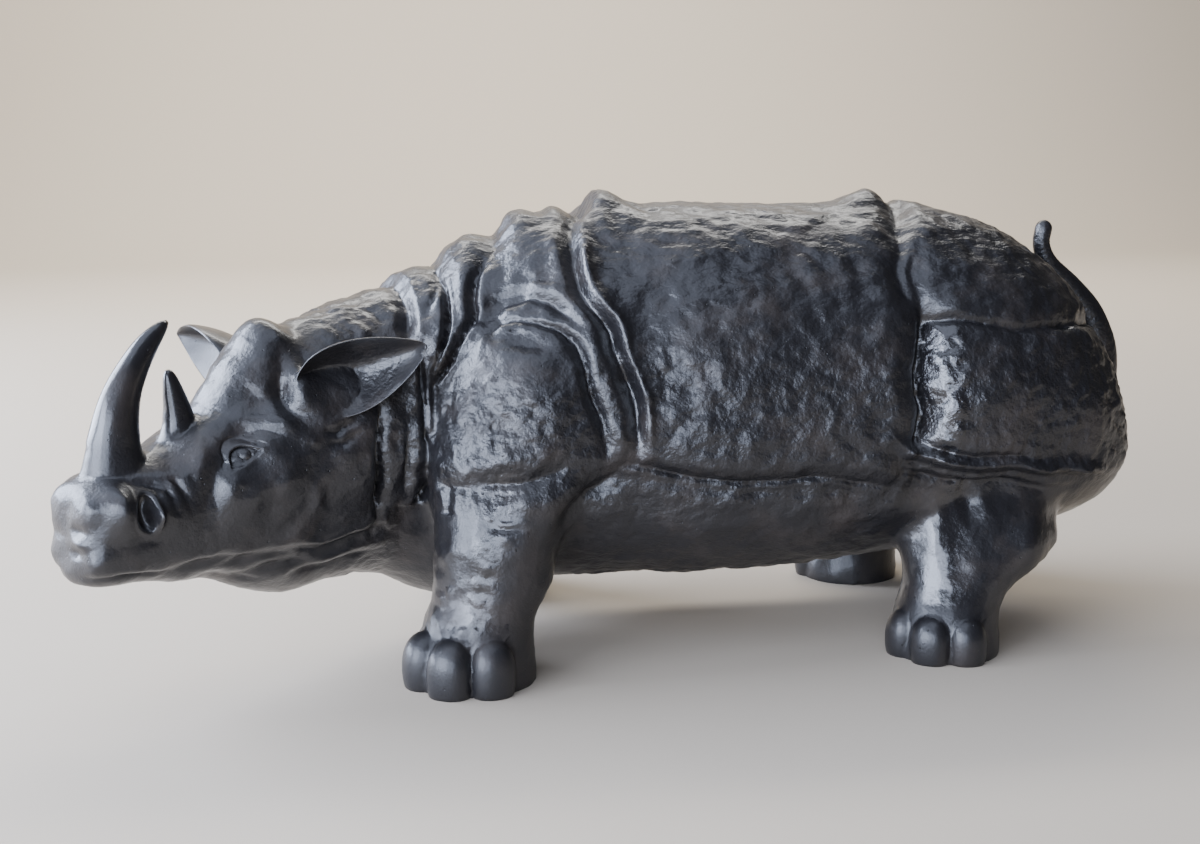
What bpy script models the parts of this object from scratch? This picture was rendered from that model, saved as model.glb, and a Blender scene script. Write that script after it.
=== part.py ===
"""Ceramic rhinoceros figurine, one hollow-cast and fired piece with a black glaze.

Metres, +Z up. The animal stands on its four flat soles with its nose toward -X and its
left flank toward -Y. The origin is on the floor, under the middle of the figurine.

Stations and folds are written in shares: x in shares of BODY_LENGTH, z in shares of HEIGHT,
y in shares of half the TRUNK_WIDTH. The neck and head are laid out straight ahead along -X
and are then turned to the animal's left by bend().
"""
import math

import bmesh
import bpy
import numpy as np
from mathutils import Matrix, Vector

# Driving sizes in metres
BODY_LENGTH = 0.694         # upper lip to rump, along the bent spine
HEIGHT = 0.272              # floor to the fold behind the shoulders
TRUNK_WIDTH = 0.208         # across the belly
BELLY_CLEARANCE = 0.038     # floor to the belly
STANCE = 0.172              # between the left and right foot centres
FOOT_WIDTH = 0.074
TOE_HEIGHT = 0.034
FRONT_HORN_LENGTH = 0.096
FRONT_HORN_RADIUS = 0.0165
REAR_HORN_LENGTH = 0.043
REAR_HORN_RADIUS = 0.0085
EAR_LENGTH = 0.074
EAR_WIDTH = 0.034
EAR_WALL = 0.0055
TAIL_RADIUS = 0.0065        # at the tip
EYE_RADIUS = 0.0085
FOLD_DEPTH = 0.0045         # of the main skin folds
FOLD_WIDTH = 0.0065         # half the width of a fold's groove or lip

# Pose
HEAD_TURN = math.radians(36)
NECK_START = -0.130         # where the neck starts to turn, share of BODY_LENGTH
NECK_SHARE = 0.115          # length of the turning stretch, share of BODY_LENGTH
FORE_SPLAY = math.radians(62)
HIND_SPLAY = math.radians(54)
FAR_STEP = 0.046            # the right forefoot stands this share of BODY_LENGTH further back

# Mesh fineness in metres and counts
RING_POINTS = 40
RING_STEP = 0.008
BODY_VOXEL = 0.0036
FORM_VOXEL = 0.0024
BODY_ROUNDS = 12            # smoothing rounds over the joins of trunk and legs
FORM_ROUNDS = 3             # and over those of horns, ears, toes and tail
TRIANGLES = 9600
SMOOTH_BELOW = math.radians(50)

GLAZE_COLOUR = (0.012, 0.012, 0.013, 1.0)
GLAZE_ROUGHNESS = 0.28

# x, top, bottom above the belly line, half width, widest height, fullness above, fullness below
BODY_STATIONS = (
    (0.474, 0.590, 0.235, 0.30, 0.475, 2.0, 2.0),
    (0.464, 0.670, 0.180, 0.54, 0.470, 2.0, 2.0),
    (0.444, 0.742, 0.122, 0.73, 0.470, 2.1, 2.0),
    (0.408, 0.824, 0.080, 0.87, 0.470, 2.1, 2.0),
    (0.366, 0.893, 0.056, 0.95, 0.475, 2.1, 2.0),
    (0.324, 0.943, 0.042, 0.99, 0.480, 2.1, 2.0),
    (0.267, 0.963, 0.028, 0.97, 0.480, 2.1, 2.1),
    (0.209, 0.968, 0.015, 0.99, 0.480, 2.1, 2.2),
    (0.137, 0.970, 0.004, 1.00, 0.475, 2.1, 2.2),
    (0.058, 0.973, 0.000, 0.99, 0.475, 2.1, 2.2),
    (-0.007, 0.968, 0.000, 0.95, 0.480, 2.0, 2.1),
    (-0.058, 0.950, -0.004, 0.91, 0.480, 1.9, 2.0),
    (-0.101, 0.908, -0.014, 0.83, 0.480, 1.8, 2.0),
    (-0.137, 0.860, -0.044, 0.74, 0.480, 1.8, 1.9),
    (-0.173, 0.820, -0.026, 0.65, 0.480, 1.8, 1.8),
    (-0.209, 0.790, 0.020, 0.60, 0.480, 1.9, 1.7),
    (-0.245, 0.772, 0.036, 0.57, 0.480, 1.9, 1.7),
    (-0.274, 0.750, 0.034, 0.54, 0.475, 1.8, 1.6),
    (-0.305, 0.750, 0.026, 0.50, 0.460, 1.7, 1.6),
    (-0.329, 0.728, 0.040, 0.47, 0.450, 1.8, 1.7),
    (-0.350, 0.672, 0.062, 0.44, 0.440, 1.9, 1.8),
    (-0.372, 0.606, 0.090, 0.41, 0.425, 2.1, 1.9),
    (-0.393, 0.553, 0.104, 0.37, 0.415, 2.2, 2.0),
    (-0.418, 0.524, 0.114, 0.325, 0.395, 2.0, 2.2),
    (-0.447, 0.508, 0.126, 0.295, 0.380, 1.9, 2.3),
    (-0.470, 0.494, 0.132, 0.255, 0.370, 1.8, 2.4),
    (-0.487, 0.470, 0.138, 0.205, 0.360, 1.7, 2.5),
    (-0.498, 0.440, 0.148, 0.145, 0.355, 1.7, 2.5),
    (-0.504, 0.405, 0.170, 0.075, 0.350, 1.8, 2.3),
)

# height, x, sideways in shares of half the stance, radius along and across in FOOT_WIDTHs
FORE_STATIONS = (
    (0.700, -0.065, 0.58, 0.62, 0.46),
    (0.588, -0.069, 0.68, 0.77, 0.53),
    (0.440, -0.086, 0.79, 0.74, 0.50),
    (0.368, -0.097, 0.86, 0.62, 0.46),
    (0.298, -0.111, 0.92, 0.50, 0.43),
    (0.202, -0.116, 0.96, 0.465, 0.405),
    (0.136, -0.125, 0.99, 0.42, 0.385),
    (0.088, -0.132, 1.00, 0.45, 0.42),
    (0.037, -0.134, 1.00, 0.47, 0.45),
    (-0.020, -0.134, 1.00, 0.47, 0.45),
)
HIND_STATIONS = (
    (0.700, 0.343, 0.50, 0.78, 0.64),
    (0.551, 0.350, 0.60, 0.89, 0.74),
    (0.426, 0.352, 0.66, 0.945, 0.71),
    (0.364, 0.343, 0.71, 0.84, 0.64),
    (0.316, 0.317, 0.81, 0.69, 0.50),
    (0.235, 0.306, 0.90, 0.62, 0.42),
    (0.169, 0.301, 0.94, 0.555, 0.39),
    (0.121, 0.288, 0.98, 0.45, 0.37),
    (0.074, 0.278, 1.00, 0.45, 0.42),
    (0.029, 0.274, 1.00, 0.47, 0.45),
    (-0.020, 0.274, 1.00, 0.47, 0.45),
)

EYE_PLACE = (-0.377, 0.300, 0.516)

# x, z, length, radius, lean at the root and at the tip, flare at the root in radii, bluntness
HORNS = (
    (-0.450, 0.455, FRONT_HORN_LENGTH, FRONT_HORN_RADIUS, math.radians(-12), math.radians(56), 0.42, 0.60),
    (-0.398, 0.515, REAR_HORN_LENGTH, REAR_HORN_RADIUS, math.radians(-8), math.radians(-14), 0.70, 0.45),
)
# side, place of the root, then how far the ear sweeps back and how far it rises
EARS = (
    (-1, (-0.322, 0.404, 0.605), math.radians(56), math.radians(22)),
    (1, (-0.322, 0.404, 0.620), math.radians(12), math.radians(20)),
)
EAR_OPENING = (-0.55, 0.80, 0.10)   # the way its cup looks, with the second value outwards

# Tail centre line: x, z and radius in shares of TAIL_RADIUS
TAIL_STATIONS = (
    (0.455, 0.420, 2.0),
    (0.470, 0.500, 1.9),
    (0.474, 0.560, 1.7),
    (0.472, 0.615, 1.5),
    (0.466, 0.662, 1.35),
    (0.456, 0.712, 1.2),
    (0.4375, 0.766, 1.1),
    (0.4135, 0.822, 1.0),
    (0.4060, 0.868, 1.0),
    (0.4085, 0.900, 1.0),
)

# Folds of the skin. Each line runs with its raised lip on its left and its groove on its right:
# groove depth, lip height (both in FOLD_DEPTHs), width in FOLD_WIDTHs, then its x and z points.
# These follow the side view of the trunk and the legs.
TRUNK_FOLDS = (
    # the long fold behind the shoulder, from the crest down to the armpit
    (0.9, 0.9, 1.0, ((-0.010, 1.04), (-0.018, 0.975), (-0.036, 0.925), (-0.044, 0.850), (-0.033, 0.780),
                     (-0.021, 0.720), (-0.006, 0.650), (0.003, 0.573), (0.002, 0.474))),
    # the edge of the shoulder plate inside it
    (0.8, 0.7, 1.1, ((-0.111, 0.700), (-0.094, 0.735), (-0.070, 0.735), (-0.048, 0.690), (-0.037, 0.639),
                     (-0.030, 0.570), (-0.022, 0.480))),
    # two arcs over the shoulder plate
    (0.5, 0.5, 1.0, ((-0.109, 0.755), (-0.083, 0.768), (-0.057, 0.752), (-0.034, 0.715))),
    (0.6, 0.5, 1.0, ((-0.124, 0.742), (-0.104, 0.790), (-0.083, 0.822), (-0.064, 0.800), (-0.048, 0.766))),
    # the crease below the shoulder plate
    (0.5, 0.5, 1.6, ((-0.168, 0.419), (-0.125, 0.415), (-0.080, 0.426))),
    # the back of the foreleg against the belly
    (0.9, 0.4, 1.3, ((-0.064, 0.220), (-0.065, 0.271), (-0.056, 0.337), (-0.034, 0.396), (-0.010, 0.445))),
    # the long flank line above the belly
    (0.8, 0.5, 1.1, ((-0.010, 0.450), (0.033, 0.427), (0.070, 0.409), (0.143, 0.405), (0.186, 0.390),
                     (0.212, 0.383))),
    # the hollow of the belly below it
    (0.9, 0.0, 5.0, ((-0.030, 0.400), (0.033, 0.385), (0.070, 0.370), (0.143, 0.365), (0.215, 0.350))),
    # across the back in front of the rump, then down the front of the thigh plate
    (0.9, 0.3, 1.0, ((0.256, 1.04), (0.253, 0.965), (0.244, 0.922), (0.231, 0.843), (0.233, 0.790),
                     (0.248, 0.746))),
    (1.2, 0.4, 1.0, ((0.250, 0.752), (0.241, 0.681), (0.237, 0.594), (0.237, 0.500), (0.229, 0.440))),
    # the level fold over the thigh plate
    (0.8, 0.4, 0.8, ((0.249, 0.742), (0.268, 0.731), (0.330, 0.718), (0.390, 0.720), (0.440, 0.700))),
    # the heavy lower lip of the thigh plate
    (1.0, 1.1, 1.3, ((0.218, 0.436), (0.268, 0.420), (0.307, 0.408), (0.348, 0.384), (0.390, 0.357),
                     (0.430, 0.352))),
    # two sinews down the shin
    (0.5, 0.3, 0.8, ((0.312, 0.209), (0.286, 0.311), (0.278, 0.373))),
    (0.4, 0.3, 0.8, ((0.309, 0.168), (0.286, 0.267))),
)
# These follow the side view of the neck and head laid out straight.
HEAD_FOLDS = (
    # the two deep grooves between the rolls of the neck, each across the nape
    (1.2, 0.3, 1.2, ((-0.149, 1.00), (-0.153, 0.870), (-0.157, 0.810), (-0.155, 0.762), (-0.174, 0.691),
                     (-0.194, 0.600))),
    (1.2, 0.3, 1.2, ((-0.090, 1.05), (-0.096, 0.913), (-0.109, 0.855), (-0.125, 0.800), (-0.131, 0.726),
                     (-0.158, 0.662), (-0.190, 0.597))),
    (0.8, 0.3, 1.0, ((-0.186, 0.860), (-0.189, 0.773), (-0.199, 0.698))),
    # the fold behind the jowl and the jowl's own edge
    (1.2, 0.5, 1.1, ((-0.201, 0.684), (-0.203, 0.560), (-0.205, 0.434), (-0.211, 0.344), (-0.220, 0.301))),
    (1.0, 0.3, 0.8, ((-0.261, 0.580), (-0.265, 0.489), (-0.263, 0.404), (-0.260, 0.320))),
    # the mouth and the skin below the jaw
    (0.5, 0.3, 0.7, ((-0.500, 0.318), (-0.473, 0.314), (-0.445, 0.308), (-0.428, 0.317), (-0.411, 0.345))),
    (0.6, 0.5, 1.1, ((-0.405, 0.320), (-0.381, 0.308), (-0.310, 0.287), (-0.270, 0.313), (-0.245, 0.316))),
    # the brow over the eye and the crease in front of the ear
    (0.7, 0.9, 0.9, ((-0.405, 0.480), (-0.392, 0.535), (-0.374, 0.556), (-0.352, 0.550), (-0.334, 0.530))),
    (0.8, 0.3, 1.0, ((-0.347, 0.690), (-0.348, 0.650), (-0.346, 0.612), (-0.338, 0.570))),
)
# Bumps on the top line: x, lift in FOLD_DEPTHs, reach to the front, to the rear and sideways
CREST_BUMPS = (
    (-0.120, 0.8, 0.018, 0.010, 0.28),
    (-0.076, 1.5, 0.014, 0.012, 0.26),
    (-0.044, 0.4, 0.010, 0.010, 0.22),
    (-0.008, 1.9, 0.009, 0.020, 0.20),
    (0.249, 2.2, 0.034, 0.010, 0.17),
)
# Round swellings and pits on both sides of the head laid out straight:
# x, z, reach along x and z, lift in FOLD_DEPTHs
FACE_FORMS = (
    (-0.453, 0.425, 0.0085, 0.030, -1.5),    # nostril
    (-0.473, 0.430, 0.0095, 0.036, 1.3),     # its swollen front wing
    (-0.439, 0.430, 0.0060, 0.036, 0.4),     # and its rear rim
    (-0.377, 0.512, 0.0160, 0.030, -0.8),    # eye socket
    (-0.396, 0.440, 0.0100, 0.035, 0.4),     # the bag below the inner corner of the eye
    (-0.325, 0.420, 0.0060, 0.045, 0.5),     # cheek ridge
)


def curve_rows(rows, step):
    """Smooth rows through the given ones, with the first two values about one step apart."""
    rows = np.array(rows, dtype=float)
    ends = np.vstack((2 * rows[0] - rows[1], rows, 2 * rows[-1] - rows[-2]))
    smooth = []
    for before, start, end, after in zip(ends, ends[1:], ends[2:], ends[3:]):
        count = max(1, round(float(np.linalg.norm(end[:2] - start[:2])) / step))
        for index in range(count):
            t = index / count
            smooth.append(0.5 * (2 * start + (end - before) * t
                                 + (2 * before - 5 * start + 4 * end - after) * t ** 2
                                 + (3 * start - before - 3 * end + after) * t ** 3))
    smooth.append(rows[-1])
    return np.array(smooth)


def bend(point):
    """Turn a point of the straight neck and head to the animal's left."""
    start = NECK_START * BODY_LENGTH
    reach = NECK_SHARE * BODY_LENGTH
    radius = reach / HEAD_TURN
    ahead = start - point[0]
    angle = HEAD_TURN * min(max(ahead / reach, 0.0), 1.0)
    beyond = ahead - min(max(ahead, 0.0), reach)
    out = radius + point[1]
    return Vector((start - out * math.sin(angle) - beyond * math.cos(angle),
                   out * math.cos(angle) - radius - beyond * math.sin(angle),
                   point[2]))


def straighten(points, normals):
    """Places and normals of neck and head points before bend(), for whole arrays at once."""
    start = NECK_START * BODY_LENGTH
    reach = NECK_SHARE * BODY_LENGTH
    radius = reach / HEAD_TURN
    across = points[:, 1] + radius
    ahead = start - points[:, 0]
    angle = np.clip(np.arctan2(ahead, across), 0.0, HEAD_TURN)
    beyond = np.where(angle >= HEAD_TURN,
                      ahead * math.cos(HEAD_TURN) - across * math.sin(HEAD_TURN), 0.0)
    beyond = np.where(ahead < 0, ahead, beyond)
    out = np.where(ahead < 0, across, ahead * np.sin(angle) + across * np.cos(angle))
    places = np.column_stack((start - angle * radius - beyond, out - radius, points[:, 2]))
    sines, cosines = np.sin(angle), np.cos(angle)
    facing = np.column_stack((normals[:, 0] * cosines + normals[:, 1] * sines,
                              normals[:, 1] * cosines - normals[:, 0] * sines, normals[:, 2]))
    return places, facing


def loft(bm, rings):
    """A closed skin through rings of equal point counts."""
    loops = [[bm.verts.new(point) for point in ring] for ring in rings]
    count = len(loops[0])
    for ring, following in zip(loops, loops[1:]):
        for index in range(count):
            after = (index + 1) % count
            bm.faces.new((ring[index], ring[after], following[after], following[index]))
    bm.faces.new(reversed(loops[0]))
    bm.faces.new(loops[-1])


def around(count):
    """The sines and cosines of a full turn."""
    return [(math.cos(2 * math.pi * index / count), math.sin(2 * math.pi * index / count))
            for index in range(count)]


def body_ring(row):
    """One cross-section of trunk, neck or head, as a full oval with its own upper and lower half."""
    x, top, bottom, half, widest, above, below = row
    top *= HEIGHT
    bottom = BELLY_CLEARANCE + bottom * HEIGHT
    widest *= HEIGHT
    half *= TRUNK_WIDTH / 2
    ring = []
    for cosine, sine in around(RING_POINTS):
        fullness = above if sine > 0 else below
        reach = top - widest if sine > 0 else widest - bottom
        ring.append(bend((x * BODY_LENGTH,
                          half * math.copysign(abs(cosine) ** (2 / fullness), cosine),
                          widest + reach * math.copysign(abs(sine) ** (2 / fullness), sine))))
    return ring


def add_body(bm):
    rows = curve_rows(BODY_STATIONS, RING_STEP / BODY_LENGTH)
    loft(bm, [body_ring(row) for row in rows])


def add_leg(bm, stations, side, step):
    """A leg; side is -1 on the left, and step moves the foot back by a share of BODY_LENGTH."""
    rings = []
    for height, x, sideways, along, across in curve_rows(stations, RING_STEP / HEIGHT)[::-1]:
        lowered = 1 - min(max(height / stations[0][0], 0), 1)
        centre = Vector(((x + step * lowered) * BODY_LENGTH, side * sideways * STANCE / 2, height * HEIGHT))
        ring = [centre + Vector((along * FOOT_WIDTH * cosine, across * FOOT_WIDTH * sine, 0))
                for cosine, sine in around(RING_POINTS)]
        rings.append(ring)
    loft(bm, rings)


def add_ball(bm, centre, radii, turn=0.0):
    """An ellipsoid, turned about the vertical."""
    place = Matrix.Translation(centre) @ Matrix.Rotation(turn, 4, "Z") @ Matrix.Diagonal((*radii, 1))
    bmesh.ops.create_icosphere(bm, subdivisions=4, radius=1, matrix=place)


def add_toes(bm, x, side, splay):
    """Three toes fanned round the front of a foot that points outwards by splay."""
    for fan in (-34, 0, 34):
        heading = splay + math.radians(fan)
        ahead = Vector((-math.cos(heading), side * math.sin(heading), 0))
        centre = Vector((x * BODY_LENGTH, side * STANCE / 2, TOE_HEIGHT * 0.40)) + ahead * FOOT_WIDTH * 0.36
        radii = (FOOT_WIDTH * 0.19, FOOT_WIDTH * 0.155, TOE_HEIGHT * 0.60)
        add_ball(bm, centre, radii, math.atan2(ahead.y, ahead.x))


def add_horn(bm, x, z, length, radius, root_lean, tip_lean, flare, blunt):
    """A horn that is a little flat from side to side, and that leans further back as it rises."""
    steps = 28
    flatness = 0.82
    flare_height = 0.12
    place = Vector((x * BODY_LENGTH, 0, z * HEIGHT))
    rings = []
    for index in range(steps):
        t = index / (steps - 1)
        lean = root_lean + (tip_lean - root_lean) * t
        axis = Vector((math.sin(lean), 0, math.cos(lean)))
        rearwards = Vector((axis.z, 0, -axis.x))
        size = radius * (max(1 - t, 0.004) ** blunt + flare * math.exp(-t / flare_height))
        rings.append([bend(place + rearwards * size * cosine + Vector((0, flatness * size * sine, 0)))
                      for cosine, sine in around(24)])
        place = place + axis * length / (steps - 1)
    loft(bm, rings)


def add_ear(bm, side, root, sweep, rise):
    """A cupped leaf with a wall."""
    level = math.cos(rise)
    along = Vector((math.sin(sweep) * level, side * math.cos(sweep) * level, math.sin(rise)))
    opening = Vector((EAR_OPENING[0], side * EAR_OPENING[1], EAR_OPENING[2]))
    opening = (opening - along * opening.dot(along)).normalized()
    across = along.cross(opening)
    root = Vector((root[0] * BODY_LENGTH, side * root[1] * TRUNK_WIDTH / 2, root[2] * HEIGHT))
    leaf = bmesh.new()
    bmesh.ops.create_grid(leaf, x_segments=16, y_segments=10, size=1)
    for vertex in leaf.verts:
        t, v = (vertex.co.x + 1) / 2, vertex.co.y
        leaf_shape = math.sin(math.pi * t ** 0.8) ** 0.75 if 0 < t < 1 else 0
        half = EAR_WIDTH / 2 * (0.42 * (1 - t) ** 2 + 1.02 * leaf_shape + 0.03)
        cup = 0.62 * half * (1 - v * v) + 0.10 * EAR_LENGTH * (1 - t) ** 2
        vertex.co = bend(root + along * EAR_LENGTH * t + across * half * v - opening * cup)
    bmesh.ops.recalc_face_normals(leaf, faces=leaf.faces)
    bmesh.ops.solidify(leaf, geom=leaf.faces[:], thickness=EAR_WALL)
    bmesh.ops.recalc_face_normals(leaf, faces=leaf.faces)
    mesh = bpy.data.meshes.new("ear")
    leaf.to_mesh(mesh)
    leaf.free()
    bm.from_mesh(mesh)
    bpy.data.meshes.remove(mesh)


def add_eye(bm, side):
    centre = bend((EYE_PLACE[0] * BODY_LENGTH, side * EYE_PLACE[1] * TRUNK_WIDTH / 2, EYE_PLACE[2] * HEIGHT))
    add_ball(bm, centre, (EYE_RADIUS,) * 3)


def add_tail(bm):
    rings = []
    rows = curve_rows(TAIL_STATIONS, RING_STEP / BODY_LENGTH)
    for index, (x, z, thickness) in enumerate(rows):
        before, after = rows[max(index - 1, 0)], rows[min(index + 1, len(rows) - 1)]
        axis = Vector(((after[0] - before[0]) * BODY_LENGTH, 0, (after[1] - before[1]) * HEIGHT)).normalized()
        out = Vector((axis.z, 0, -axis.x))
        centre = Vector((x * BODY_LENGTH, 0, z * HEIGHT))
        size = TAIL_RADIUS * thickness
        rings.append([centre + out * size * cosine + Vector((0, size * sine, 0))
                      for cosine, sine in around(20)])
    loft(bm, rings)
    tip = rows[-1]
    add_ball(bm, Vector((tip[0] * BODY_LENGTH, 0, tip[1] * HEIGHT)), (TAIL_RADIUS,) * 3)


def mesh_of(name, builders, start=None):
    """A mesh of overlapping closed shapes, on top of an earlier mesh."""
    bm = bmesh.new()
    if start is not None:
        bm.from_mesh(start)
    for build in builders:
        fresh = bmesh.new()
        build(fresh)
        bmesh.ops.recalc_face_normals(fresh, faces=fresh.faces)
        shape = bpy.data.meshes.new("shape")
        fresh.to_mesh(shape)
        fresh.free()
        bm.from_mesh(shape)
        bpy.data.meshes.remove(shape)
    mesh = bpy.data.meshes.new(name)
    bm.to_mesh(mesh)
    bm.free()
    return mesh


def melt(mesh, voxel, rounds):
    """Fuse the overlapping shapes of a mesh into one skin and smooth their joins."""
    working = bpy.data.objects.new("working", mesh)
    bpy.context.scene.collection.objects.link(working)
    fuse = working.modifiers.new("fuse", "REMESH")
    fuse.mode = "VOXEL"
    fuse.voxel_size = voxel
    smooth = working.modifiers.new("smooth", "SMOOTH")
    smooth.factor = 0.5
    smooth.iterations = rounds
    depsgraph = bpy.context.evaluated_depsgraph_get()
    melted = bpy.data.meshes.new_from_object(working.evaluated_get(depsgraph))
    bpy.data.objects.remove(working)
    return melted


def along_folds(points, normals, folds):
    """How far the folds push each point out (a lip) or in (a groove), in metres."""
    side = points[:, (0, 2)]
    # skin that faces straight ahead or back would smear a fold, so it takes none
    facing = np.clip((np.abs(normals[:, 1]) + np.abs(normals[:, 2]) - 0.25) / 0.5, 0, 1)
    push = np.zeros(len(points))
    for groove, lip, width, line in folds:
        line = curve_rows(line, 0.02) * (BODY_LENGTH, HEIGHT)
        steps = np.linalg.norm(np.diff(line, axis=0), axis=1)
        travelled = np.concatenate(((0,), np.cumsum(steps)))
        nearest = np.full(len(points), np.inf)
        signed = np.zeros(len(points))
        place = np.zeros(len(points))
        for index, (start, end) in enumerate(zip(line, line[1:])):
            run = end - start
            share = np.clip((side - start) @ run / (run @ run), 0, 1)
            gap = side - start - share[:, None] * run
            distance = np.linalg.norm(gap, axis=1)
            turn = run[0] * (side[:, 1] - start[1]) - run[1] * (side[:, 0] - start[0])
            closer = distance < nearest
            nearest = np.where(closer, distance, nearest)
            signed = np.where(closer, np.copysign(distance, turn), signed)
            place = np.where(closer, travelled[index] + share * steps[index], place)
        reach = width * FOLD_WIDTH
        fade = np.clip(np.minimum(place, travelled[-1] - place) / (3 * FOLD_WIDTH) + 0.25, 0, 1)
        shape = (lip * np.exp(-((signed - 0.9 * reach) / reach) ** 2)
                 - groove * np.exp(-((signed + 0.5 * reach) / (0.8 * reach)) ** 2))
        push += FOLD_DEPTH * fade * facing * shape
    return push


def carve(mesh):
    """Raise the lips, grooves and bumps of the skin on the fused body."""
    count = len(mesh.vertices)
    points = np.empty(count * 3)
    normals = np.empty(count * 3)
    mesh.vertices.foreach_get("co", points)
    mesh.vertex_normals.foreach_get("vector", normals)
    points, normals = points.reshape(-1, 3), normals.reshape(-1, 3)
    straight, straight_normals = straighten(points, normals)
    x, y, z = points.T / np.array([[BODY_LENGTH], [TRUNK_WIDTH / 2], [HEIGHT]])
    # the trunk's folds stay off the inner sides of the legs, and the neck's off the forelegs
    outer = np.clip((np.abs(y) - 0.30) / 0.2 + (z - 0.60) / 0.1, 0, 1)
    forelegs = (z < 0.36) & (x > -0.2)
    push = along_folds(points, normals, TRUNK_FOLDS) * outer
    push += along_folds(straight, straight_normals, HEAD_FOLDS) * np.where(forelegs, 0, 1)
    for place, lift, front, rear, sideways in CREST_BUMPS:
        offset = straight[:, 0] / BODY_LENGTH - place
        length = np.where(offset < 0, front, rear)
        across = straight[:, 1] / (TRUNK_WIDTH / 2) / sideways
        top = np.clip(normals[:, 2] * 2 - 0.4, 0, 1)
        push += lift * FOLD_DEPTH * top * np.exp(-(offset / length) ** 2 - across ** 2)
    facing = np.clip(np.abs(straight_normals[:, 1]) * 1.6, 0, 1)
    for along, up, long, high, lift in FACE_FORMS:
        spread = (((straight[:, 0] / BODY_LENGTH - along) / long) ** 2
                  + ((straight[:, 2] / HEIGHT - up) / high) ** 2)
        push += lift * FOLD_DEPTH * facing * np.exp(-spread)
    points += normals * push[:, None]
    mesh.vertices.foreach_set("co", points.ravel())
    mesh.update()


def coarsen(mesh):
    """Bring the skin down to its triangle budget, which keeps more of them where it curves most."""
    working = bpy.data.objects.new("working", mesh)
    bpy.context.scene.collection.objects.link(working)
    reduce = working.modifiers.new("reduce", "DECIMATE")
    reduce.ratio = TRIANGLES / sum(len(face.vertices) - 2 for face in mesh.polygons)
    reduce.use_collapse_triangulate = True
    depsgraph = bpy.context.evaluated_depsgraph_get()
    reduced = bpy.data.meshes.new_from_object(working.evaluated_get(depsgraph))
    bpy.data.objects.remove(working)
    return reduced


def stand(mesh):
    """Cut the soles flat on the floor and put the origin under the middle of the figurine."""
    bm = bmesh.new()
    bm.from_mesh(mesh)
    bmesh.ops.bisect_plane(bm, geom=bm.verts[:] + bm.edges[:] + bm.faces[:], plane_co=(0, 0, 0),
                           plane_no=(0, 0, -1), clear_outer=True)
    rims = [edge for edge in bm.edges if edge.is_boundary]
    bmesh.ops.holes_fill(bm, edges=rims, sides=0)
    bmesh.ops.triangulate(bm, faces=bm.faces)
    corners = np.array([vertex.co for vertex in bm.verts])
    middle = (corners.min(axis=0) + corners.max(axis=0)) / 2
    bmesh.ops.translate(bm, verts=bm.verts, vec=(-middle[0], -middle[1], 0))
    bm.to_mesh(mesh)
    bm.free()


def build_rhinoceros():
    """Trunk, neck, head and legs fused and carved, then the horns, ears, toes, eyes and tail."""
    body = mesh_of("body", (
        add_body,
        lambda bm: add_leg(bm, FORE_STATIONS, -1, 0),
        lambda bm: add_leg(bm, FORE_STATIONS, 1, FAR_STEP),
        lambda bm: add_leg(bm, HIND_STATIONS, -1, 0),
        lambda bm: add_leg(bm, HIND_STATIONS, 1, 0),
    ))
    body = melt(body, BODY_VOXEL, BODY_ROUNDS)
    carve(body)
    fore, hind = FORE_STATIONS[-1][1], HIND_STATIONS[-1][1]
    details = [
        lambda bm: add_toes(bm, fore, -1, FORE_SPLAY),
        lambda bm: add_toes(bm, fore + FAR_STEP, 1, FORE_SPLAY),
        lambda bm: add_toes(bm, hind, -1, HIND_SPLAY),
        lambda bm: add_toes(bm, hind, 1, HIND_SPLAY),
        lambda bm: add_eye(bm, -1),
        lambda bm: add_eye(bm, 1),
        add_tail,
    ]
    details += [lambda bm, horn=horn: add_horn(bm, *horn) for horn in HORNS]
    details += [lambda bm, ear=ear: add_ear(bm, *ear) for ear in EARS]
    whole = melt(mesh_of("rhinoceros", details, body), FORM_VOXEL, FORM_ROUNDS)
    whole = coarsen(whole)
    stand(whole)
    return whole


def black_glaze():
    """Black satin glaze over the whole piece."""
    material = bpy.data.materials.new("black_glaze")
    material.use_nodes = True
    shader = material.node_tree.nodes["Principled BSDF"]
    shader.inputs["Base Color"].default_value = GLAZE_COLOUR
    shader.inputs["Roughness"].default_value = GLAZE_ROUGHNESS
    shader.inputs["Metallic"].default_value = 0.0
    return material


def main():
    for old in list(bpy.data.objects):
        bpy.data.objects.remove(old)
    collection = bpy.data.collections.new("ceramic_rhinoceros")
    bpy.context.scene.collection.children.link(collection)
    mesh = build_rhinoceros()
    mesh.name = "rhinoceros"
    mesh.materials.append(black_glaze())
    mesh.shade_smooth()
    mesh.set_sharp_from_angle(angle=SMOOTH_BELOW)
    figure = bpy.data.objects.new("rhinoceros", mesh)
    collection.objects.link(figure)


main()
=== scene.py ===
"""Black-glazed ceramic rhinoceros, standing in a plain studio.

The figurine is one fired piece, so it is one mesh here too. Trunk, neck, head and legs are lofted and
fused, the folds, the face and the crumpled skin are pressed into the clay, and then horns, ears, toes
and tail are joined on. The nose points toward -X and the left flank toward -Y.

Stations and folds are shares: x of the body length, z of the height, y of half the trunk width. The
neck and head are laid out straight ahead along -X and are then turned to the animal's left.
"""
import math
from contextlib import contextmanager

import bmesh
import bpy
import numpy as np
from mathutils import Matrix, Vector, noise


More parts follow.
